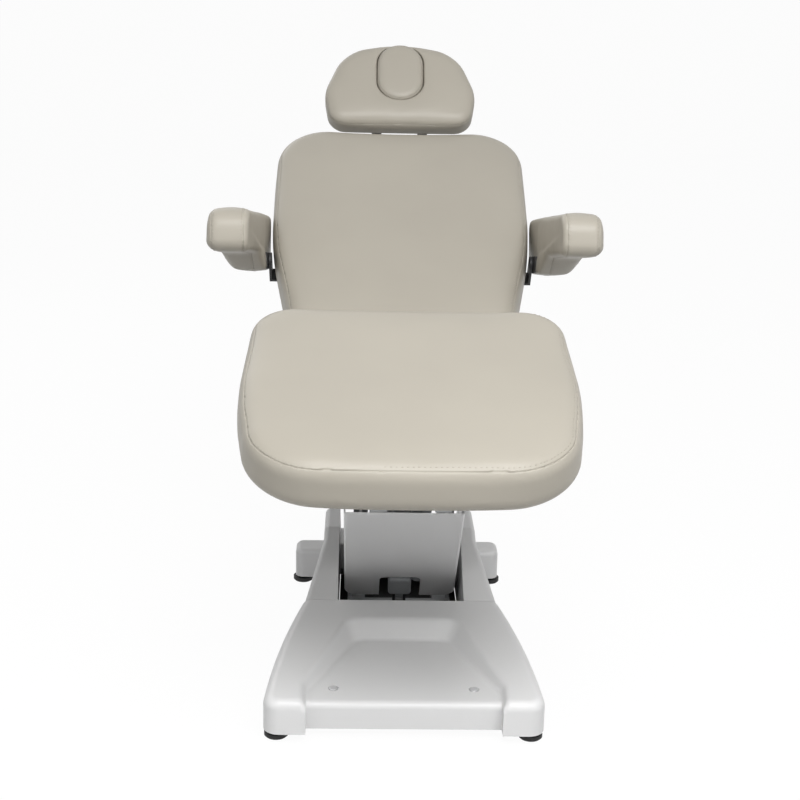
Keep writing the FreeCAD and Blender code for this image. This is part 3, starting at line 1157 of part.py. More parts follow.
def build():
    nodes = {}
    nodes["base_frame"] = fused([base_frame()] + [cover_post(side) for side in (-1, 1)])
    bracket = base_bracket()
    nodes["base_bracket_right"] = bracket
    nodes["base_bracket_left"] = mirrored(bracket)
    nodes["base_pivot_shafts"] = shafts([ARM_FOOT, LINK_FOOT])
    nodes["lift_drive_clevis"] = lift_clevis()
    nodes["arm_stop_blocks"] = stop_blocks()
    nodes["control_box"] = control_box()
    nodes["mains_inlet"] = mains_inlet()
    nodes["front_base_cover"] = front_cover()
    nodes["cover_screws"] = cover_screws()
    cheek = rear_cover()
    nodes["rear_cover_right"] = cheek
    nodes["rear_cover_left"] = mirrored(cheek)
    nodes["rear_deck_cover"] = rear_deck()
    for name, x, y in (("front", FRONT_FOOT_X, FRONT_FOOT_Y), ("rear", REAR_FOOT_X, REAR_FOOT_Y)):
        nodes["foot_" + name + "_right"] = foot(x, y)
        nodes["foot_" + name + "_left"] = foot(-x, y)

    arm = lift_arm()
    nodes["lift_arm_right"] = arm
    nodes["lift_arm_left"] = mirrored(arm)
    nodes["arm_bushes"] = arm_bushes()
    nodes["arm_cross_tubes"] = arm_cross_tubes()
    nodes["lift_drive_pin"] = lift_pin()
    nodes["lift_arm_cover"] = lift_arm_cover()
    nodes["upper_link"] = upper_link()
    nodes["lift_drive"], nodes["lift_drive_rod"] = lift_drive()

    plate = carrier_plate()
    nodes["carrier_plate_right"] = plate
    nodes["carrier_plate_left"] = mirrored(plate)
    nodes["carrier_shafts"] = shafts([ARM_HEAD, LINK_HEAD, TILT_PIVOT, TILT_MOUNT])
    nodes["tilt_drive"], nodes["tilt_drive_rod"] = tilt_drive()

    nodes["seat_frame"] = seat_frame()
    nodes["seat_board"], nodes["seat_cushion"] = seat_upholstery()
    inner = INNER_RAIL_X - RAIL / 2
    nodes["leg_hinge_pins"] = hinge_pins(LEG_HINGE, inner)
    nodes["back_hinge_pins"] = hinge_pins(BACK_HINGE, inner)
    nodes["leg_drive"], nodes["leg_drive_rod"] = leg_drive()
    nodes["back_drive"], nodes["back_drive_rod"] = back_drive()

    nodes["leg_frame"] = leg_frame()
    nodes["leg_board"], nodes["leg_cushion"] = leg_upholstery()
    nodes["back_frame"] = back_frame()
    nodes["back_board"], nodes["back_cushion"] = back_upholstery()
    nodes["headrest_guides"] = headrest_guides()
    nodes["headrest_posts"] = headrest_posts()
    for name, solid in zip(("board", "cushion", "plug", "brackets"), head_upholstery()):
        nodes["headrest_" + name] = solid

    pad, bracket, hinge = armrest()
    for name, solid in (("pad", pad), ("bracket", bracket), ("hinge", hinge)):
        nodes["armrest_" + name + "_right"] = solid
        nodes["armrest_" + name + "_left"] = mirrored(solid)
    return nodes


def main():
    os.makedirs("parts", exist_ok=True)
    nodes = build()
    boxes = [shape.optimalBoundingBox(False, False) for shape in nodes.values()]
    centre = (min(b.YMin for b in boxes) + max(b.YMax for b in boxes)) / 2
    for name, shape in nodes.items():
        shape.translate(V(0, -centre, 0))
        shape.exportStep("parts/" + name + ".step")
        if not shape.isValid():
            print("not valid:", name)
    pivots = {
        "arm_foot": ARM_FOOT, "arm_head": ARM_HEAD, "link_foot": LINK_FOOT, "link_head": LINK_HEAD,
        "tilt": TILT_PIVOT, "leg": LEG_HINGE, "back": BACK_HINGE, "head": HEAD_HINGE,
        "armrest": ARMREST_PIVOT, "lift_foot": LIFT_FOOT, "lift_head": LIFT_HEAD,
    }
    for name, (y, z) in pivots.items():
        print("pivot", name, round(y - centre, 3), round(z, 3))
    print("centre", round(centre, 3), "height", round(max(b.ZMax for b in boxes), 3))


main()
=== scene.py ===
import json
import math

import bpy
import numpy as np
from mathutils import Matrix, Vector

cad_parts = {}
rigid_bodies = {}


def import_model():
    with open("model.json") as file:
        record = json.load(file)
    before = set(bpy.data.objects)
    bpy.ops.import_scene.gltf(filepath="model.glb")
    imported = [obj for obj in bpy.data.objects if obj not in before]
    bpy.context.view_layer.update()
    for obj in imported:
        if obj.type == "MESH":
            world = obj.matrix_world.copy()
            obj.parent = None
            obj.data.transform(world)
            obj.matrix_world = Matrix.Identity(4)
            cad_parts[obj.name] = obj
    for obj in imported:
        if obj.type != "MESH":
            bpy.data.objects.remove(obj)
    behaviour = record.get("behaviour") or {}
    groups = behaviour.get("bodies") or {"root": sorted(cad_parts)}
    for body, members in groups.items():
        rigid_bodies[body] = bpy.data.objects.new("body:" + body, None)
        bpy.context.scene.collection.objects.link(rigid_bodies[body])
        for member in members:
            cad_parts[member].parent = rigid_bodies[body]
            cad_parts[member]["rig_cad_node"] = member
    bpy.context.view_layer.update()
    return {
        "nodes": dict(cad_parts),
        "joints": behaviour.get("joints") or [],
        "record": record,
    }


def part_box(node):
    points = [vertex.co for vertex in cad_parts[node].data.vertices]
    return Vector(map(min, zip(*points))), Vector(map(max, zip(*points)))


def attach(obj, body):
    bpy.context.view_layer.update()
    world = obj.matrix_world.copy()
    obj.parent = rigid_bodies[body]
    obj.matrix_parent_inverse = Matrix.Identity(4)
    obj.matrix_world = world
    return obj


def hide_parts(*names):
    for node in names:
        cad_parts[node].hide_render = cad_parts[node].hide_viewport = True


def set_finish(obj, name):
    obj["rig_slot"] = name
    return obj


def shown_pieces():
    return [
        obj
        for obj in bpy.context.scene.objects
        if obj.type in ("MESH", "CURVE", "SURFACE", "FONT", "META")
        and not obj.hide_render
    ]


# Electric beauty chair: taupe padding on a lifting white base. Metres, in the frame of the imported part.

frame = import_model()
joints = {joint["name"]: joint for joint in frame["joints"]}

# Pad sections are modelled lying flat about their hinge and then turned into place.
LEG_TURN = 18.0
SEAT_TURN = -14.5
BACK_TURN = 32.0
HEAD_TURN = 52.0
ARMREST_TURN = -11.0


# Hand tools


def tidy_selection():
    if bpy.context.object and bpy.context.object.mode != "OBJECT":
        bpy.ops.object.mode_set(mode="OBJECT")
    bpy.ops.object.select_all(action="DESELECT")


def take(piece):
    """Makes a piece the only selected and active one."""
    tidy_selection()
    piece.select_set(True)
    bpy.context.view_layer.objects.active = piece


def edit(piece, kind="VERT"):
    take(piece)
    bpy.ops.object.mode_set(mode="EDIT")
    bpy.ops.mesh.select_mode(type=kind)
    bpy.ops.mesh.select_all(action="DESELECT")


def done():
    bpy.ops.object.mode_set(mode="OBJECT")


def pick_points(piece, wanted):
    """Selects the vertices that wanted() accepts, and leaves edit mode on."""
    edit(piece)
    bpy.ops.object.mode_set(mode="OBJECT")
    for vertex in piece.data.vertices:
        vertex.select = wanted(vertex.co)
    bpy.ops.object.mode_set(mode="EDIT")


def pick_edges(piece, wanted):
    """Selects the edges whose both ends wanted() accepts, and leaves edit mode on."""
    edit(piece, "EDGE")
    bpy.ops.object.mode_set(mode="OBJECT")
    for side in piece.data.edges:
        side.select = all(wanted(piece.data.vertices[i].co) for i in side.vertices)
    bpy.ops.object.mode_set(mode="EDIT")


def named(name):
    piece = bpy.context.object
    piece.name = name
    piece.data.name = name
    return piece


def settle(piece):
    """Puts the place, turn and size of a piece into its mesh."""
    take(piece)
    bpy.ops.object.transform_apply(location=True, rotation=True, scale=True)
    return piece


def outward(piece):
    edit(piece)
    bpy.ops.mesh.select_all(action="SELECT")
    bpy.ops.mesh.remove_doubles(threshold=0.00002)
    bpy.ops.mesh.normals_make_consistent(inside=False)
    done()
    return piece


def use(piece, kind, name, **settings):
    """Adds a modifier, sets it and applies it."""
    take(piece)
    modifier = piece.modifiers.new(name, kind)
    for key, value in settings.items():
        setattr(modifier, key, value)
    bpy.ops.object.modifier_apply(modifier=name)


def smooth(piece):
    take(piece)
    bpy.ops.object.shade_smooth()
    return piece


def hung(piece, hinge, flat_pivot, degrees):
    """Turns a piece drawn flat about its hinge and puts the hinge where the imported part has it."""
    at = Vector((0, *joints[hinge]["pos_m"][1:]))
    flat = Vector((0, *flat_pivot))
    turn = Matrix.Translation(at) @ Matrix.Rotation(math.radians(degrees), 4, "X") @ Matrix.Translation(-flat)
    piece.matrix_world = turn
    return settle(piece)


SECTIONS = {
    "leg": ("leg_rest", (0.0, -0.015), LEG_TURN),
    "seat": ("seat_tilt", (0.150, -0.045), SEAT_TURN),
    "back": ("backrest", (0.0, 0.045), BACK_TURN),
    "headrest": ("headrest_tilt", (0.0, 0.0), HEAD_TURN),
    "armrest_right": ("armrest_right_swing", (0.0, 0.0), ARMREST_TURN),
    "armrest_left": ("armrest_left_swing", (0.0, 0.0), ARMREST_TURN),
}


def mount(piece, section, slot, body=None):
    """Turns a flat piece into place and lets it ride on its body."""
    hung(piece, *SECTIONS[section])
    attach(piece, body or section)
    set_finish(piece, slot)
    return piece


# Padded pieces

PAD_VOXEL = 0.0065
SMALL_VOXEL = 0.004
CLOTH_FRAMES = 20
CLOTH_PRESSURE = 4.0
EVENING_PASSES = 40
GROOVE_HALF_WIDTH = 0.0018
GROOVE_DEPTH = 0.0026
ROUND_SEGMENTS = 14
EDGE_SEGMENTS = 6
SAME_SPOT = 0.0005
COVER_STIFFNESS = 30
COVER_SHEAR = 15
COVER_BENDING = 2.0
CUT_MERGE = 0.0002
ON_SEAM = 0.00022
ON_GROOVE = 0.00025
RIM_ROUND = ((0.08, 0.38), (0.20, 0.32), (0.34, 0.20), (0.38, 0.10))
STITCH_STEP = 0.0075
STITCH_LENGTH = 0.0052
STITCH_WIDTH = 0.0011
STITCH_AWAY = 0.0045


def outline(name, corners, z):
    """Flat face with rounded corners, from (x, y, radius) corners going anticlockwise."""
    tidy_selection()
    count = len(corners)
    bpy.ops.mesh.primitive_circle_add(vertices=count, radius=0.2, fill_type="NGON", location=(0, 0, 0))
    piece = named(name)
    for index, (x, y, radius) in enumerate(corners):
        edit(piece)
        bpy.ops.object.mode_set(mode="OBJECT")
        vertex = piece.data.vertices[index]
        vertex.select = True
        move = Vector((x, y, z)) - vertex.co
        bpy.ops.object.mode_set(mode="EDIT")
        bpy.ops.transform.translate(value=move)
    done()
    for index, (x, y, radius) in enumerate(corners):
        here = Vector((x, y))
        before = (Vector(corners[index - 1][:2]) - here).normalized()
        after = (Vector(corners[(index + 1) % count][:2]) - here).normalized()
        half = math.acos(max(-1.0, min(1.0, before.dot(after)))) / 2
        pick_points(piece, lambda co: (co.xy - here).length < SAME_SPOT)
        bpy.ops.mesh.bevel(offset=radius / math.tan(half), segments=ROUND_SEGMENTS, profile=0.5,
                           affect="VERTICES", clamp_overlap=False)
        done()
    edit(piece)
    bpy.ops.mesh.select_all(action="SELECT")
    bpy.ops.mesh.normals_make_consistent(inside=False)
    done()
    if piece.data.polygons[0].normal.z < 0:
        edit(piece)
        bpy.ops.mesh.select_all(action="SELECT")
        bpy.ops.mesh.flip_normals()
        done()
    return piece


def raise_walls(piece, height, edge, foot):
    """Extrudes an outline to a block, rounds its top rim over and draws its foot in."""
    edit(piece, "FACE")
    bpy.ops.mesh.select_all(action="SELECT")
    bpy.ops.mesh.extrude_region_move(TRANSFORM_OT_translate={"value": (0, 0, height - edge)})
    for share_in, share_up in RIM_ROUND:
        bpy.ops.mesh.inset(thickness=edge * share_in, depth=edge * share_up)
    done()
    low = min(v.co.z for v in piece.data.vertices)
    pick_edges(piece, lambda co: co.z < low + SAME_SPOT)
    bpy.ops.mesh.bevel(offset=foot, segments=EDGE_SEGMENTS, affect="EDGES", clamp_overlap=True)
    done()
    return outward(piece)


def points_of(piece):
    flat = np.empty(len(piece.data.vertices) * 3, np.float32)
    piece.data.vertices.foreach_get("co", flat)
    return flat.reshape(-1, 3)


def refit(piece, low, high):
    """Stretches a stuffed pad back to the reach of the block that it was made from."""
    points = points_of(piece)
    now_low, now_high = points.min(axis=0), points.max(axis=0)
    size = (high - low) / (now_high - now_low)
    piece.scale = size
    piece.location = low - now_low * size
    settle(piece)


def evened(piece, move):
    """The swelling averaged along the threads of the cover, so that it keeps no small creases."""
    ends = np.empty(len(piece.data.edges) * 2, np.int32)
    piece.data.edges.foreach_get("vertices", ends)
    first, second = ends.reshape(-1, 2).T
    total = len(move)
    joined = np.bincount(ends, minlength=total)[:, None]
    for _ in range(EVENING_PASSES):
        around = np.empty_like(move)
        for axis in range(3):
            around[:, axis] = np.bincount(first, move[second, axis], total)
            around[:, axis] += np.bincount(second, move[first, axis], total)
        move = (move + around / joined) / 2
    return move


def foam(piece, cap, seated):
    """Swells a cover with foam pressure. It is held where it is seated, and moves no further than the cap."""
    start = points_of(piece)
    held = piece.vertex_groups.new(name="held")
    held.add([v.index for v in piece.data.vertices if seated(v.co)], 1.0, "REPLACE")
    cloth = piece.modifiers.new("foam", "CLOTH")
    cloth.settings.vertex_group_mass = "held"
    cloth.settings.use_pressure = True
    cloth.settings.uniform_pressure_force = CLOTH_PRESSURE
    cloth.settings.tension_stiffness = COVER_STIFFNESS
    cloth.settings.compression_stiffness = COVER_STIFFNESS
    cloth.settings.shear_stiffness = COVER_SHEAR
    cloth.settings.bending_stiffness = COVER_BENDING
    cloth.settings.effector_weights.gravity = 0
    cloth.collision_settings.use_collision = False
    cloth.point_cache.frame_end = CLOTH_FRAMES
    for step in range(1, CLOTH_FRAMES + 1):
        bpy.context.scene.frame_set(step)
    take(piece)
    bpy.ops.object.modifier_apply(modifier="foam")
    bpy.context.scene.frame_set(1)
    move = points_of(piece) - start
    reach = np.linalg.norm(move, axis=1, keepdims=True)
    move = move * cap * np.tanh(reach / cap) / np.maximum(reach, 1e-9)
    piece.data.vertices.foreach_set("co", (start + evened(piece, move)).astype(np.float32).ravel())
    piece.data.update()
    piece.vertex_groups.clear()


def stuff(piece, voxel, cap, seated):
    """Makes a block a stuffed pad of the same reach."""
    block = points_of(piece)
    take(piece)
    piece.data.remesh_voxel_size = voxel
    piece.data.remesh_voxel_adaptivity = 0
    bpy.ops.object.voxel_remesh()
    use(piece, "SMOOTH", "ease", factor=0.5, iterations=5)
    foam(piece, cap, seated)
    use(piece, "SMOOTH", "calm", factor=0.5, iterations=4)
    refit(piece, block.min(axis=0), block.max(axis=0))
    use(piece, "SUBSURF", "fine", levels=1, render_levels=1)
    return piece


def slit(piece, axis, place):
    """Cuts a line of edges round a piece, square to an axis."""
    normal = Vector((0, 0, 0))
    normal[axis] = 1.0
    edit(piece)
    bpy.ops.mesh.select_all(action="SELECT")
    bpy.ops.mesh.bisect(plane_co=normal * place, plane_no=normal, use_fill=False, threshold=CUT_MERGE)
    done()


def groove(piece, axis, place, keep=lambda co: True, depth=GROOVE_DEPTH):
    """Sewn seam all round a pad where a plane square to an axis cuts it."""
    for step in (-1, 0, 1):
        slit(piece, axis, place + step * GROOVE_HALF_WIDTH)
    pick_points(piece, lambda co: abs(co[axis] - place) < ON_GROOVE and keep(co))
    bpy.ops.transform.shrink_fatten(value=-depth)
    done()
    return piece


def seam_path(piece, axis, place, keep):
    """The longest round of points where a plane cuts a pad, each with the way out of the pad there."""
    slit(piece, axis, place)
    points = piece.data.vertices
    near_plane = {v.index for v in points if abs(v.co[axis] - place) < ON_SEAM and keep(v.co)}
    beside = {index: [] for index in near_plane}
    for side in piece.data.edges:
        first, second = side.vertices
        if first in near_plane and second in near_plane:
            beside[first].append(second)
            beside[second].append(first)
    longest = []
    left = set(near_plane)
    while left:
        here = left.pop()
        path = [here]
        while True:
            onward = [index for index in beside[here] if index in left]
            if not onward:
                break
            here = onward[0]
            left.discard(here)
            path.append(here)
        if len(path) > len(longest):
            longest = path
    return [(points[index].co.copy(), points[index].normal.copy()) for index in longest]


def stitches(pad, axis, place, keep=lambda co: True):
    """A row of thread stitches lying on a pad along a seam."""
    path = seam_path(pad, axis, place, keep)
    tidy_selection()
    bpy.ops.mesh.primitive_ico_sphere_add(subdivisions=1, radius=0.5)
    thread = named(pad.name + "_stitch")
    row = []
    gone = STITCH_STEP
    for (start, out), (end, _) in zip(path, path[1:]):
        gone += (end - start).length
        if gone < STITCH_STEP:
            continue
        gone = 0.0
        along = (end - start).normalized()
        out = (out - along * out.dot(along)).normalized()
        across = out.cross(along)
        sides = Matrix((along * STITCH_LENGTH, across * STITCH_WIDTH, out * STITCH_WIDTH))
        turn = sides.transposed().to_4x4()
        one = bpy.data.objects.new(thread.name, thread.data.copy())
        one.matrix_world = Matrix.Translation(start + out * STITCH_WIDTH * 0.1) @ turn
        bpy.context.scene.collection.objects.link(one)
        row.append(one)
    take(thread)
    bpy.ops.object.delete()
    take(row[0])
    for one in row:
        one.select_set(True)
    bpy.ops.object.join()
    return smooth(settle(named(pad.name + "_stitches")))


def finish_pad(piece, section, node, body=None):
    smooth(piece)
    mount(piece, section, "upholstery", body)
    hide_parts(node)
    return piece


def sewn(thread, section, body=None):
    """Lets a row of stitches ride on the body of its pad."""
    mount(thread, section, "upholstery", body)
    thread.data.materials.append(THREAD)


def both_halves(right_side):
    return right_side + [(-x, y, r) for x, y, r in reversed(right_side) if x > 0]


BOW = 2.6
LEG_CORNERS = both_halves([
    (0, -0.494, BOW), (0.289, -0.476, 0.145), (0.327, -0.235, 0.700), (0.312, 0.082, 0.092),
])
SEAT_CORNERS = both_halves([(0.314, 0.097, 0.072), (0.314, 0.404, 0.072)])
BACK_CORNERS = both_halves([
    (0.262, 0.021, 0.070), (0.321, 0.330, 0.900), (0.320, 0.757, 0.135), (0, 0.748, BOW),
])
HEAD_CORNERS = both_halves([
    (0.186, -0.006, 0.048), (0.203, 0.094, 0.090), (0.152, 0.222, 0.105), (0, 0.253, 0.320),
])
PLUG_CORNERS = both_halves([(0.063, 0.064, 0.062), (0.063, 0.240, 0.062)])
PAD_HEIGHT = 0.092
PAD_EDGE = 0.030
PAD_FOOT = 0.042
PAD_WRAP = 0.016
SEAM_DROP = 0.016
PAD_SWELL = 0.007
PAD_SEATED = 0.012
LEG_BASE = 0.019
SEAT_BASE = 0.015
BACK_BASE = 0.015
LEAST_RADIUS = 0.006


def drawn_in(corners, amount):
    """The same outline, smaller all round, or larger for an amount below nothing."""
    count = len(corners)
    made = []
    for index, (x, y, radius) in enumerate(corners):
        here = Vector((x, y))
        first = (here - Vector(corners[index - 1][:2])).normalized()
        second = (Vector(corners[(index + 1) % count][:2]) - here).normalized()
        a, b = Vector((-first.y, first.x)), Vector((-second.y, second.x))
        spot = here + (a + b) * (amount / (1 + a.dot(b)))
        made.append((spot.x, spot.y, max(radius - amount, LEAST_RADIUS)))
    return made


def section_pad(name, section, node, corners, base):
    """A large pad: a boxed cushion, wrapped round its board, with a seam round its top panel."""
    flat = outline(name, corners, base - PAD_WRAP)
    block = raise_walls(flat, PAD_HEIGHT + PAD_WRAP, PAD_EDGE, PAD_FOOT)
    stuff(block, PAD_VOXEL, PAD_SWELL, lambda co: co.z < base + PAD_SEATED)
    seam = base + PAD_HEIGHT - SEAM_DROP
    sewn(stitches(block, 2, seam + STITCH_AWAY), section)
    groove(block, 2, seam)
    return finish_pad(block, section, node)


# Headrest, plug and armrests

HEAD_BASE = 0.068
HEAD_HEIGHT = 0.066
HEAD_EDGE = 0.026
HEAD_SEAM_DROP = 0.021
HEAD_FOOT = 0.006
HEAD_SWELL = 0.004
HEAD_SEATED = 0.010
HOLE_CLEARANCE = 0.0005
HOLE_CUTTER_HEIGHT = 0.3
HOLE_HALF_WIDTH = 0.072
HOLE_NEAR, HOLE_FAR = 0.052, 0.246
PLUG_BASE = 0.058
PLUG_HEIGHT = 0.082
PLUG_EDGE = 0.016
PLUG_FOOT = 0.005
PLUG_SWELL = 0.003
PLUG_SEATED = 0.050
PLUG_CLEARANCE = 0.001
PLUG_SEAM_DROP = 0.008
PLUG_GROOVE = 0.0012
ARM_INNER = 0.344
ARM_OUTER = 0.436
ARM_BASE = 0.018
ARM_TOP = 0.116
ARM_FRONT = -0.432
ARM_REAR = 0.108
ARM_HEEL = -0.105
HEEL_LOW = -0.026
ARM_PROFILE = [
    (ARM_FRONT, ARM_BASE, 0.030), (-0.190, ARM_BASE, 0.060), (ARM_HEEL, HEEL_LOW, 0.030),
    (0.092, HEEL_LOW, 0.030), (ARM_REAR, ARM_TOP, 0.034), (ARM_FRONT, ARM_TOP, 0.046),
]
ARM_TAPER = 0.0205
HEEL_TAPER = 0.022
ARM_INNER_EDGE = 0.012
ARM_OUTER_EDGE = 0.024
ARM_SWELL = 0.004
ARM_SEATED = 0.002
ARM_SEATED_REAR = -0.070
ARM_INNER_SEAM = 0.008
ARM_OUTER_SEAM = 0.014
SHADE_SHEET_HALF_WIDTH = 0.1372
SHADE_SHEET_FRONT = -0.300
SHADE_SHEET_REAR = 0.164
SHADE_SHEET_LEVEL = 0.0180
SHADE_SHEET_THICKNESS = 0.0036
SIDEWAYS = Matrix(((0, 0, 1, 0), (1, 0, 0, 0), (0, 1, 0, 0), (0, 0, 0, 1)))


def headrest_pad():
    block = raise_walls(outline("headrest_pad", HEAD_CORNERS, HEAD_BASE), HEAD_HEIGHT, HEAD_EDGE, HEAD_FOOT)
    cutter = outline("face_hole", drawn_in(PLUG_CORNERS, -HOLE_CLEARANCE), 0.0)
    edit(cutter, "FACE")
    bpy.ops.mesh.select_all(action="SELECT")
    bpy.ops.mesh.extrude_region_move(TRANSFORM_OT_translate={"value": (0, 0, HOLE_CUTTER_HEIGHT)})
    done()
    outward(cutter)
    use(block, "BOOLEAN", "hole", operation="DIFFERENCE", solver="EXACT", object=cutter)
    take(cutter)
    bpy.ops.object.delete()
    stuff(block, SMALL_VOXEL, HEAD_SWELL, lambda co: co.z < HEAD_BASE + HEAD_SEATED)
    seam = HEAD_BASE + HEAD_HEIGHT - HEAD_SEAM_DROP
    sewn(stitches(block, 2, seam + STITCH_AWAY, lambda co: not in_face_hole(co)), "headrest")
    groove(block, 2, seam, lambda co: not in_face_hole(co))
    return finish_pad(block, "headrest", "headrest_cushion")


def in_face_hole(co):
    return abs(co.x) < HOLE_HALF_WIDTH and HOLE_NEAR < co.y < HOLE_FAR


def face_plug():
    flat = outline("face_hole_plug", drawn_in(PLUG_CORNERS, PLUG_CLEARANCE), PLUG_BASE)
    block = raise_walls(flat, PLUG_HEIGHT, PLUG_EDGE, PLUG_FOOT)
    stuff(block, SMALL_VOXEL, PLUG_SWELL, lambda co: co.z < PLUG_BASE + PLUG_SEATED)
    groove(block, 2, PLUG_BASE + PLUG_HEIGHT - PLUG_SEAM_DROP, depth=PLUG_GROOVE)
    return finish_pad(block, "headrest", "headrest_plug", "face_plug")


def arm_pad(side):
    """Armrest: a strip wrapped over the top and the nose, between two side panels, with a dropped heel."""
    pad = outline("armrest_pad_" + side + "_cover", ARM_PROFILE, 0.0)
    edit(pad, "FACE")
    bpy.ops.mesh.select_all(action="SELECT")
    bpy.ops.mesh.extrude_region_move(TRANSFORM_OT_translate={"value": (0, 0, ARM_OUTER - ARM_INNER)})
    done()
    pad.matrix_world = Matrix.Translation((ARM_INNER, 0, 0)) @ SIDEWAYS
    settle(pad)
    outward(pad)
    middle = (ARM_INNER + ARM_OUTER) / 2
    for vertex in pad.data.vertices:
        if vertex.co.x < middle:
            vertex.co.x -= ARM_TAPER * min(1.0, (vertex.co.y - ARM_FRONT) / (ARM_HEEL - ARM_FRONT))
        else:
            vertex.co.x -= HEEL_TAPER * max(0.0, ARM_BASE - vertex.co.z) / (ARM_BASE - HEEL_LOW)
    for at_rim, edge in (
        (lambda co: co.x < ARM_INNER + 2 * SAME_SPOT, ARM_INNER_EDGE),
        (lambda co: co.x > middle, ARM_OUTER_EDGE),
    ):
        pick_edges(pad, at_rim)
        bpy.ops.mesh.bevel(offset=edge, segments=EDGE_SEGMENTS, affect="EDGES", clamp_overlap=False)
        done()
    stuff(pad, SMALL_VOXEL, ARM_SWELL, lambda co: co.x < ARM_INNER + ARM_SEATED and co.y > ARM_SEATED_REAR)
    if side == "left":
        pad.scale = (-1, 1, 1)
        settle(pad)
        outward(pad)
    sign = 1 if side == "right" else -1
    for x, inward in ((ARM_INNER + ARM_INNER_SEAM, 1), (ARM_OUTER - ARM_OUTER_SEAM, -1)):
        sewn(stitches(pad, 0, sign * (x + inward * STITCH_AWAY)), "armrest_" + side)
        groove(pad, 0, sign * x)
    return finish_pad(pad, "armrest_" + side, "armrest_pad_" + side)


def base_shade_sheet():
    """Black sheet under the base frame, between the covers: painted shade for the dark inside of the base,
    hiding the white floor seen through the gaps.
    """
    tidy_selection()
    bpy.ops.mesh.primitive_cube_add(size=1.0, location=(0, (SHADE_SHEET_FRONT + SHADE_SHEET_REAR) / 2, SHADE_SHEET_LEVEL))
    shade_sheet = named("base_shade_sheet")
    shade_sheet.scale = (2 * SHADE_SHEET_HALF_WIDTH, SHADE_SHEET_REAR - SHADE_SHEET_FRONT, SHADE_SHEET_THICKNESS)
    settle(shade_sheet)
    pick_edges(shade_sheet, lambda co: True)
    bpy.ops.mesh.bevel(offset=SHADE_SHEET_THICKNESS / 4, segments=2, affect="EDGES")
    done()
    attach(shade_sheet, "base")
    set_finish(shade_sheet, "black_plastic")


# Finishes


def finish(name, colour, roughness, metallic=0.0):
    material = bpy.data.materials.new(name)
    material.use_nodes = True
    shader = material.node_tree.nodes["Principled BSDF"]
    shader.inputs["Base Color"].default_value = (*colour, 1)
    shader.inputs["Roughness"].default_value = roughness
    shader.inputs["Metallic"].default_value = metallic
    return material, material.node_tree.nodes, material.node_tree.links, shader


def noise(nodes, links, scale, detail, stretch=None):
    texture = nodes.new("ShaderNodeTexNoise")
    texture.inputs["Scale"].default_value = scale
    texture.inputs["Detail"].default_value = detail
    where = nodes.new("ShaderNodeTexCoord")
    spot = where.outputs["Object"]
    if stretch:
        mapping = nodes.new("ShaderNodeMapping")
        mapping.inputs["Scale"].default_value = stretch
        links.new(spot, mapping.inputs["Vector"])
        spot = mapping.outputs["Vector"]
    links.new(spot, texture.inputs["Vector"])
    return texture


def ramp(nodes, links, source, low, high, stops):
    """Colours set between two levels of a pattern."""
    band = nodes.new("ShaderNodeValToRGB")
    band.color_ramp.elements[0].position = low
    band.color_ramp.elements[1].position = high
    for element, colour in zip(band.color_ramp.elements, stops):
        element.color = (*colour, 1)
    links.new(source, band.inputs["Fac"])
    return band.outputs["Color"]


def bump(nodes, links, height, strength, distance, below=None):
    relief = nodes.new("ShaderNodeBump")
    relief.inputs["Strength"].default_value = strength
    relief.inputs["Distance"].default_value = distance
    links.new(height, relief.inputs["Height"])
    if below:
        links.new(below, relief.inputs["Normal"])
    return relief.outputs["Normal"]


def spread(nodes, links, source, low, high):
    """A pattern's 0 to 1 made a narrow range of roughness."""
    span = nodes.new("ShaderNodeMapRange")
    span.inputs["To Min"].default_value = low
    span.inputs["To Max"].default_value = high
    links.new(source, span.inputs["Value"])
    return span.outputs["Result"]


def taupe_leather():
    material, nodes, links, shader = finish("taupe synthetic leather", (0.385, 0.357, 0.303), 0.42)
    shader.inputs["Specular IOR Level"].default_value = 0.42
    tone = noise(nodes, links, 3.0, 3.0)
    tones = ((0.362, 0.336, 0.286), (0.382, 0.355, 0.302))
    links.new(ramp(nodes, links, tone.outputs["Fac"], 0.35, 0.65, tones), shader.inputs["Base Color"])
    grain = nodes.new("ShaderNodeTexVoronoi")
    grain.feature = "SMOOTH_F1"
    grain.inputs["Scale"].default_value = 620.0
    where = nodes.new("ShaderNodeTexCoord")
    links.new(where.outputs["Object"], grain.inputs["Vector"])
    wave = noise(nodes, links, 9.0, 2.0)
    soft = bump(nodes, links, wave.outputs["Fac"], 0.35, 0.004)
    links.new(bump(nodes, links, grain.outputs["Distance"], 0.10, 0.0004, soft), shader.inputs["Normal"])
    wear = noise(nodes, links, 6.0, 4.0)
    links.new(spread(nodes, links, wear.outputs["Fac"], 0.37, 0.49), shader.inputs["Roughness"])
    return material


def moulded(name, colour, low, high, grain_scale, relief):
    material, nodes, links, shader = finish(name, colour, (low + high) / 2)
    skin = noise(nodes, links, grain_scale, 2.0)
    links.new(bump(nodes, links, skin.outputs["Fac"], relief, 0.0003), shader.inputs["Normal"])
    haze = noise(nodes, links, 7.0, 3.0)
    links.new(spread(nodes, links, haze.outputs["Fac"], low, high), shader.inputs["Roughness"])
    return material


def turned_steel(name, colour, roughness):
    material, nodes, links, shader = finish(name, colour, roughness, 1.0)
    lines = noise(nodes, links, 260.0, 2.0, stretch=(6.0, 1.0, 1.0))
    sheen = spread(nodes, links, lines.outputs["Fac"], roughness - 0.08, roughness + 0.10)
    links.new(sheen, shader.inputs["Roughness"])
    return material


def black_cloth_board():
    material, nodes, links, shader = finish("black backing cloth", (0.022, 0.022, 0.023), 0.9)
    weave = nodes.new("ShaderNodeTexWave")
    weave.inputs["Scale"].default_value = 260.0
    where = nodes.new("ShaderNodeTexCoord")
    links.new(where.outputs["Object"], weave.inputs["Vector"])
    links.new(bump(nodes, links, weave.outputs["Fac"], 0.4, 0.0004), shader.inputs["Normal"])
    return material


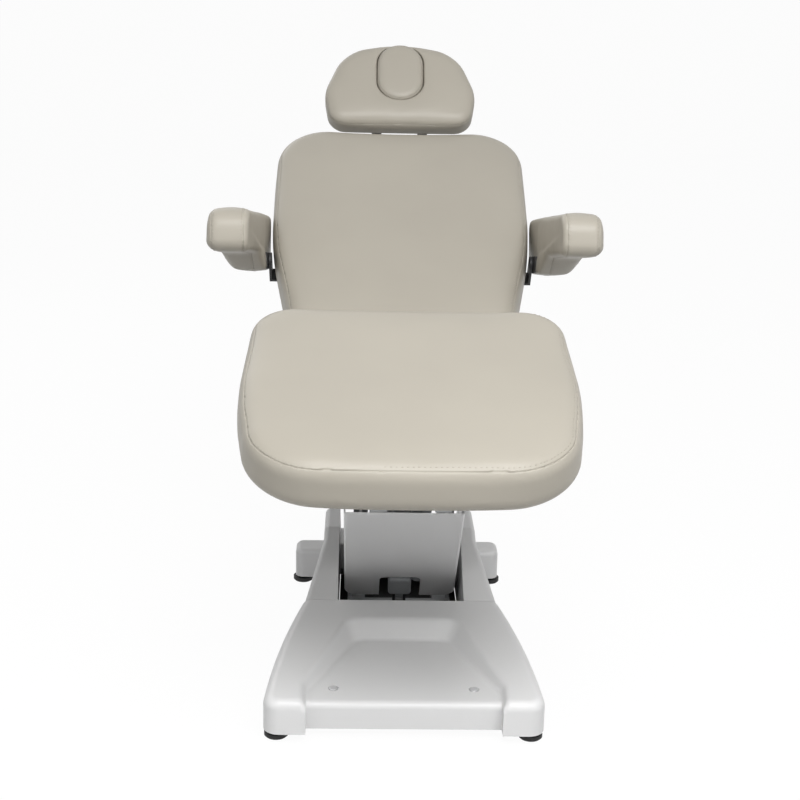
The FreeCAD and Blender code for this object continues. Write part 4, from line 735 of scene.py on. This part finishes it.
THREAD = moulded("taupe thread", (0.300, 0.275, 0.232), 0.55, 0.70, 900.0, 0.2)
FINISHES = {
    "upholstery": taupe_leather(),
    "board": black_cloth_board(),
    "white_cover": moulded("satin white plastic", (0.70, 0.70, 0.70), 0.34, 0.42, 900.0, 0.06),
    "grey_steel": moulded("grey powder coat", (0.44, 0.45, 0.46), 0.48, 0.58, 700.0, 0.16),
    # Armrest hinges and brackets: a black coat, and the black also stands in as painted shade for the
    # shadowed gap between backrest and arms.
    "black_steel": moulded("black powder coat", (0.020, 0.020, 0.021), 0.46, 0.58, 700.0, 0.16),
    "bright_steel": turned_steel("turned steel", (0.62, 0.62, 0.63), 0.30),
    "drive_grey": moulded("grey drive plastic", (0.30, 0.31, 0.32), 0.46, 0.56, 800.0, 0.12),
    "black_plastic": moulded("black plastic", (0.016, 0.016, 0.017), 0.40, 0.52, 800.0, 0.12),
    "rubber": moulded("black rubber", (0.012, 0.012, 0.012), 0.62, 0.76, 500.0, 0.2),
}


def coat(piece, slot):
    piece.data.materials.clear()
    piece.data.materials.append(FINISHES[slot])


def coat_all():
    for part in frame["record"]["subparts"]:
        coat(frame["nodes"][part["node"]], part["material_slot"])
    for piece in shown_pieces():
        if "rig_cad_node" not in piece and "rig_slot" in piece and not piece.data.materials:
            coat(piece, piece["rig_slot"])


# Studio

FLOOR_MIDDLE = 2.0
FLOOR_WIDTH, FLOOR_DEPTH = 16, 18
BACKDROP_HEIGHT = 8
BACKDROP_ROUND = 2.5
PAPER = 0.50
PAPER_GLOW = 1.05
PAPER_SHARE = 0.91


def seen_directly(nodes, links):
    """One for rays from the camera, a reflection or through glass, and nought for light falling on things."""
    path = nodes.new("ShaderNodeLightPath")
    seen = path.outputs["Is Camera Ray"]
    for ray in ("Is Glossy Ray", "Is Transmission Ray"):
        either = nodes.new("ShaderNodeMath")
        either.operation = "MAXIMUM"
        links.new(seen, either.inputs[0])
        links.new(path.outputs[ray], either.inputs[1])
        seen = either.outputs["Value"]
    return seen


def studio():
    tidy_selection()
    bpy.ops.mesh.primitive_plane_add(size=1.0, location=(0, FLOOR_MIDDLE, 0))
    floor = named("studio_floor")
    floor.scale = (FLOOR_WIDTH, FLOOR_DEPTH, 1)
    settle(floor)
    pick_edges(floor, lambda co: co.y > 10)
    bpy.ops.mesh.extrude_region_move(TRANSFORM_OT_translate={"value": (0, 0, BACKDROP_HEIGHT)})
    done()
    pick_edges(floor, lambda co: co.y > 10 and co.z < 0.01)
    bpy.ops.mesh.bevel(offset=BACKDROP_ROUND, segments=16, affect="EDGES")
    done()
    smooth(floor)
    material = bpy.data.materials.new("white paper")
    material.use_nodes = True
    nodes, links = material.node_tree.nodes, material.node_tree.links
    shader = nodes["Principled BSDF"]
    shader.inputs["Base Color"].default_value = (PAPER, PAPER, PAPER, 1)
    shader.inputs["Roughness"].default_value = 0.9
    shader.inputs["Specular IOR Level"].default_value = 0.1
    glow = nodes.new("ShaderNodeEmission")
    glow.inputs["Strength"].default_value = PAPER_GLOW
    share = nodes.new("ShaderNodeMath")
    share.operation = "MULTIPLY"
    share.inputs[1].default_value = PAPER_SHARE
    links.new(seen_directly(nodes, links), share.inputs[0])
    blend = nodes.new("ShaderNodeMixShader")
    links.new(share.outputs["Value"], blend.inputs["Fac"])
    links.new(shader.outputs["BSDF"], blend.inputs[1])
    links.new(glow.outputs["Emission"], blend.inputs[2])
    links.new(blend.outputs["Shader"], nodes["Material Output"].inputs["Surface"])
    floor.data.materials.append(material)


LAMPS = (
    ("overhead soft box", (0.3, -2.3, 3.0), (0, -0.6, 0.5), (2.4, 2.0), 112),
    ("front right soft box", (2.3, -3.2, 2.0), (0, -0.2, 0.5), (2.0, 2.0), 22),
    ("front left soft box", (-2.4, -3.0, 1.6), (0, -0.2, 0.4), (1.6, 1.6), 16),
    ("rear soft box", (-1.8, 3.0, 2.6), (0, 0.3, 0.8), (2.0, 1.6), 18),
)
SKY_LIGHT = 0.30
SKY_SEEN = 1.0


def lamp(name, place, aim, size, power):
    light = bpy.data.lights.new(name, "AREA")
    light.shape = "RECTANGLE"
    light.size, light.size_y = size
    light.energy = power
    holder = bpy.data.objects.new(name, light)
    bpy.context.scene.collection.objects.link(holder)
    holder.location = place
    holder.rotation_euler = (Vector(aim) - Vector(place)).to_track_quat("-Z", "Y").to_euler()


def lights():
    world = bpy.data.worlds.new("studio")
    bpy.context.scene.world = world
    world.use_nodes = True
    nodes, links = world.node_tree.nodes, world.node_tree.links
    sky = nodes["Background"]
    sky.inputs["Color"].default_value = (1, 1, 1, 1)
    sky.inputs["Strength"].default_value = SKY_LIGHT
    white = nodes.new("ShaderNodeBackground")
    white.inputs["Color"].default_value = (1, 1, 1, 1)
    white.inputs["Strength"].default_value = SKY_SEEN
    blend = nodes.new("ShaderNodeMixShader")
    links.new(seen_directly(nodes, links), blend.inputs["Fac"])
    links.new(sky.outputs["Background"], blend.inputs[1])
    links.new(white.outputs["Background"], blend.inputs[2])
    links.new(blend.outputs["Shader"], nodes["World Output"].inputs["Surface"])
    for setting in LAMPS:
        lamp(*setting)


CAMERA_X = -0.090
CAMERA_AWAY = 2.657
CAMERA_HEIGHT = 1.450
CAMERA_YAW = 1.5
CAMERA_PITCH = 16.0
CAMERA_ROLL = 1.18
CAMERA_LENS = 67.5
CAMERA_SENSOR = 36.0
CAMERA_REACH = 60


def camera():
    foot_low, foot_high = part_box("foot_front_left")
    front = (foot_low.y + foot_high.y) / 2
    lens = bpy.data.cameras.new("camera")
    lens.sensor_width = CAMERA_SENSOR
    lens.lens = CAMERA_LENS
    lens.clip_end = CAMERA_REACH
    holder = bpy.data.objects.new("camera", lens)
    bpy.context.scene.collection.objects.link(holder)
    turn = Matrix.Rotation(math.radians(-CAMERA_YAW), 4, "Z")
    turn = turn @ Matrix.Rotation(math.radians(90 - CAMERA_PITCH), 4, "X")
    turn = turn @ Matrix.Rotation(math.radians(CAMERA_ROLL), 4, "Z")
    holder.matrix_world = Matrix.Translation((CAMERA_X, front - CAMERA_AWAY, CAMERA_HEIGHT)) @ turn
    bpy.context.scene.camera = holder
    bpy.context.scene.view_settings.view_transform = "Standard"


section_pad("leg_pad", "leg", "leg_cushion", LEG_CORNERS, LEG_BASE)
section_pad("seat_pad", "seat", "seat_cushion", SEAT_CORNERS, SEAT_BASE)
section_pad("back_pad", "back", "back_cushion", BACK_CORNERS, BACK_BASE)
headrest_pad()
face_plug()
for side in ("left", "right"):
    arm_pad(side)
base_shade_sheet()
coat_all()
studio()
lights()
camera()
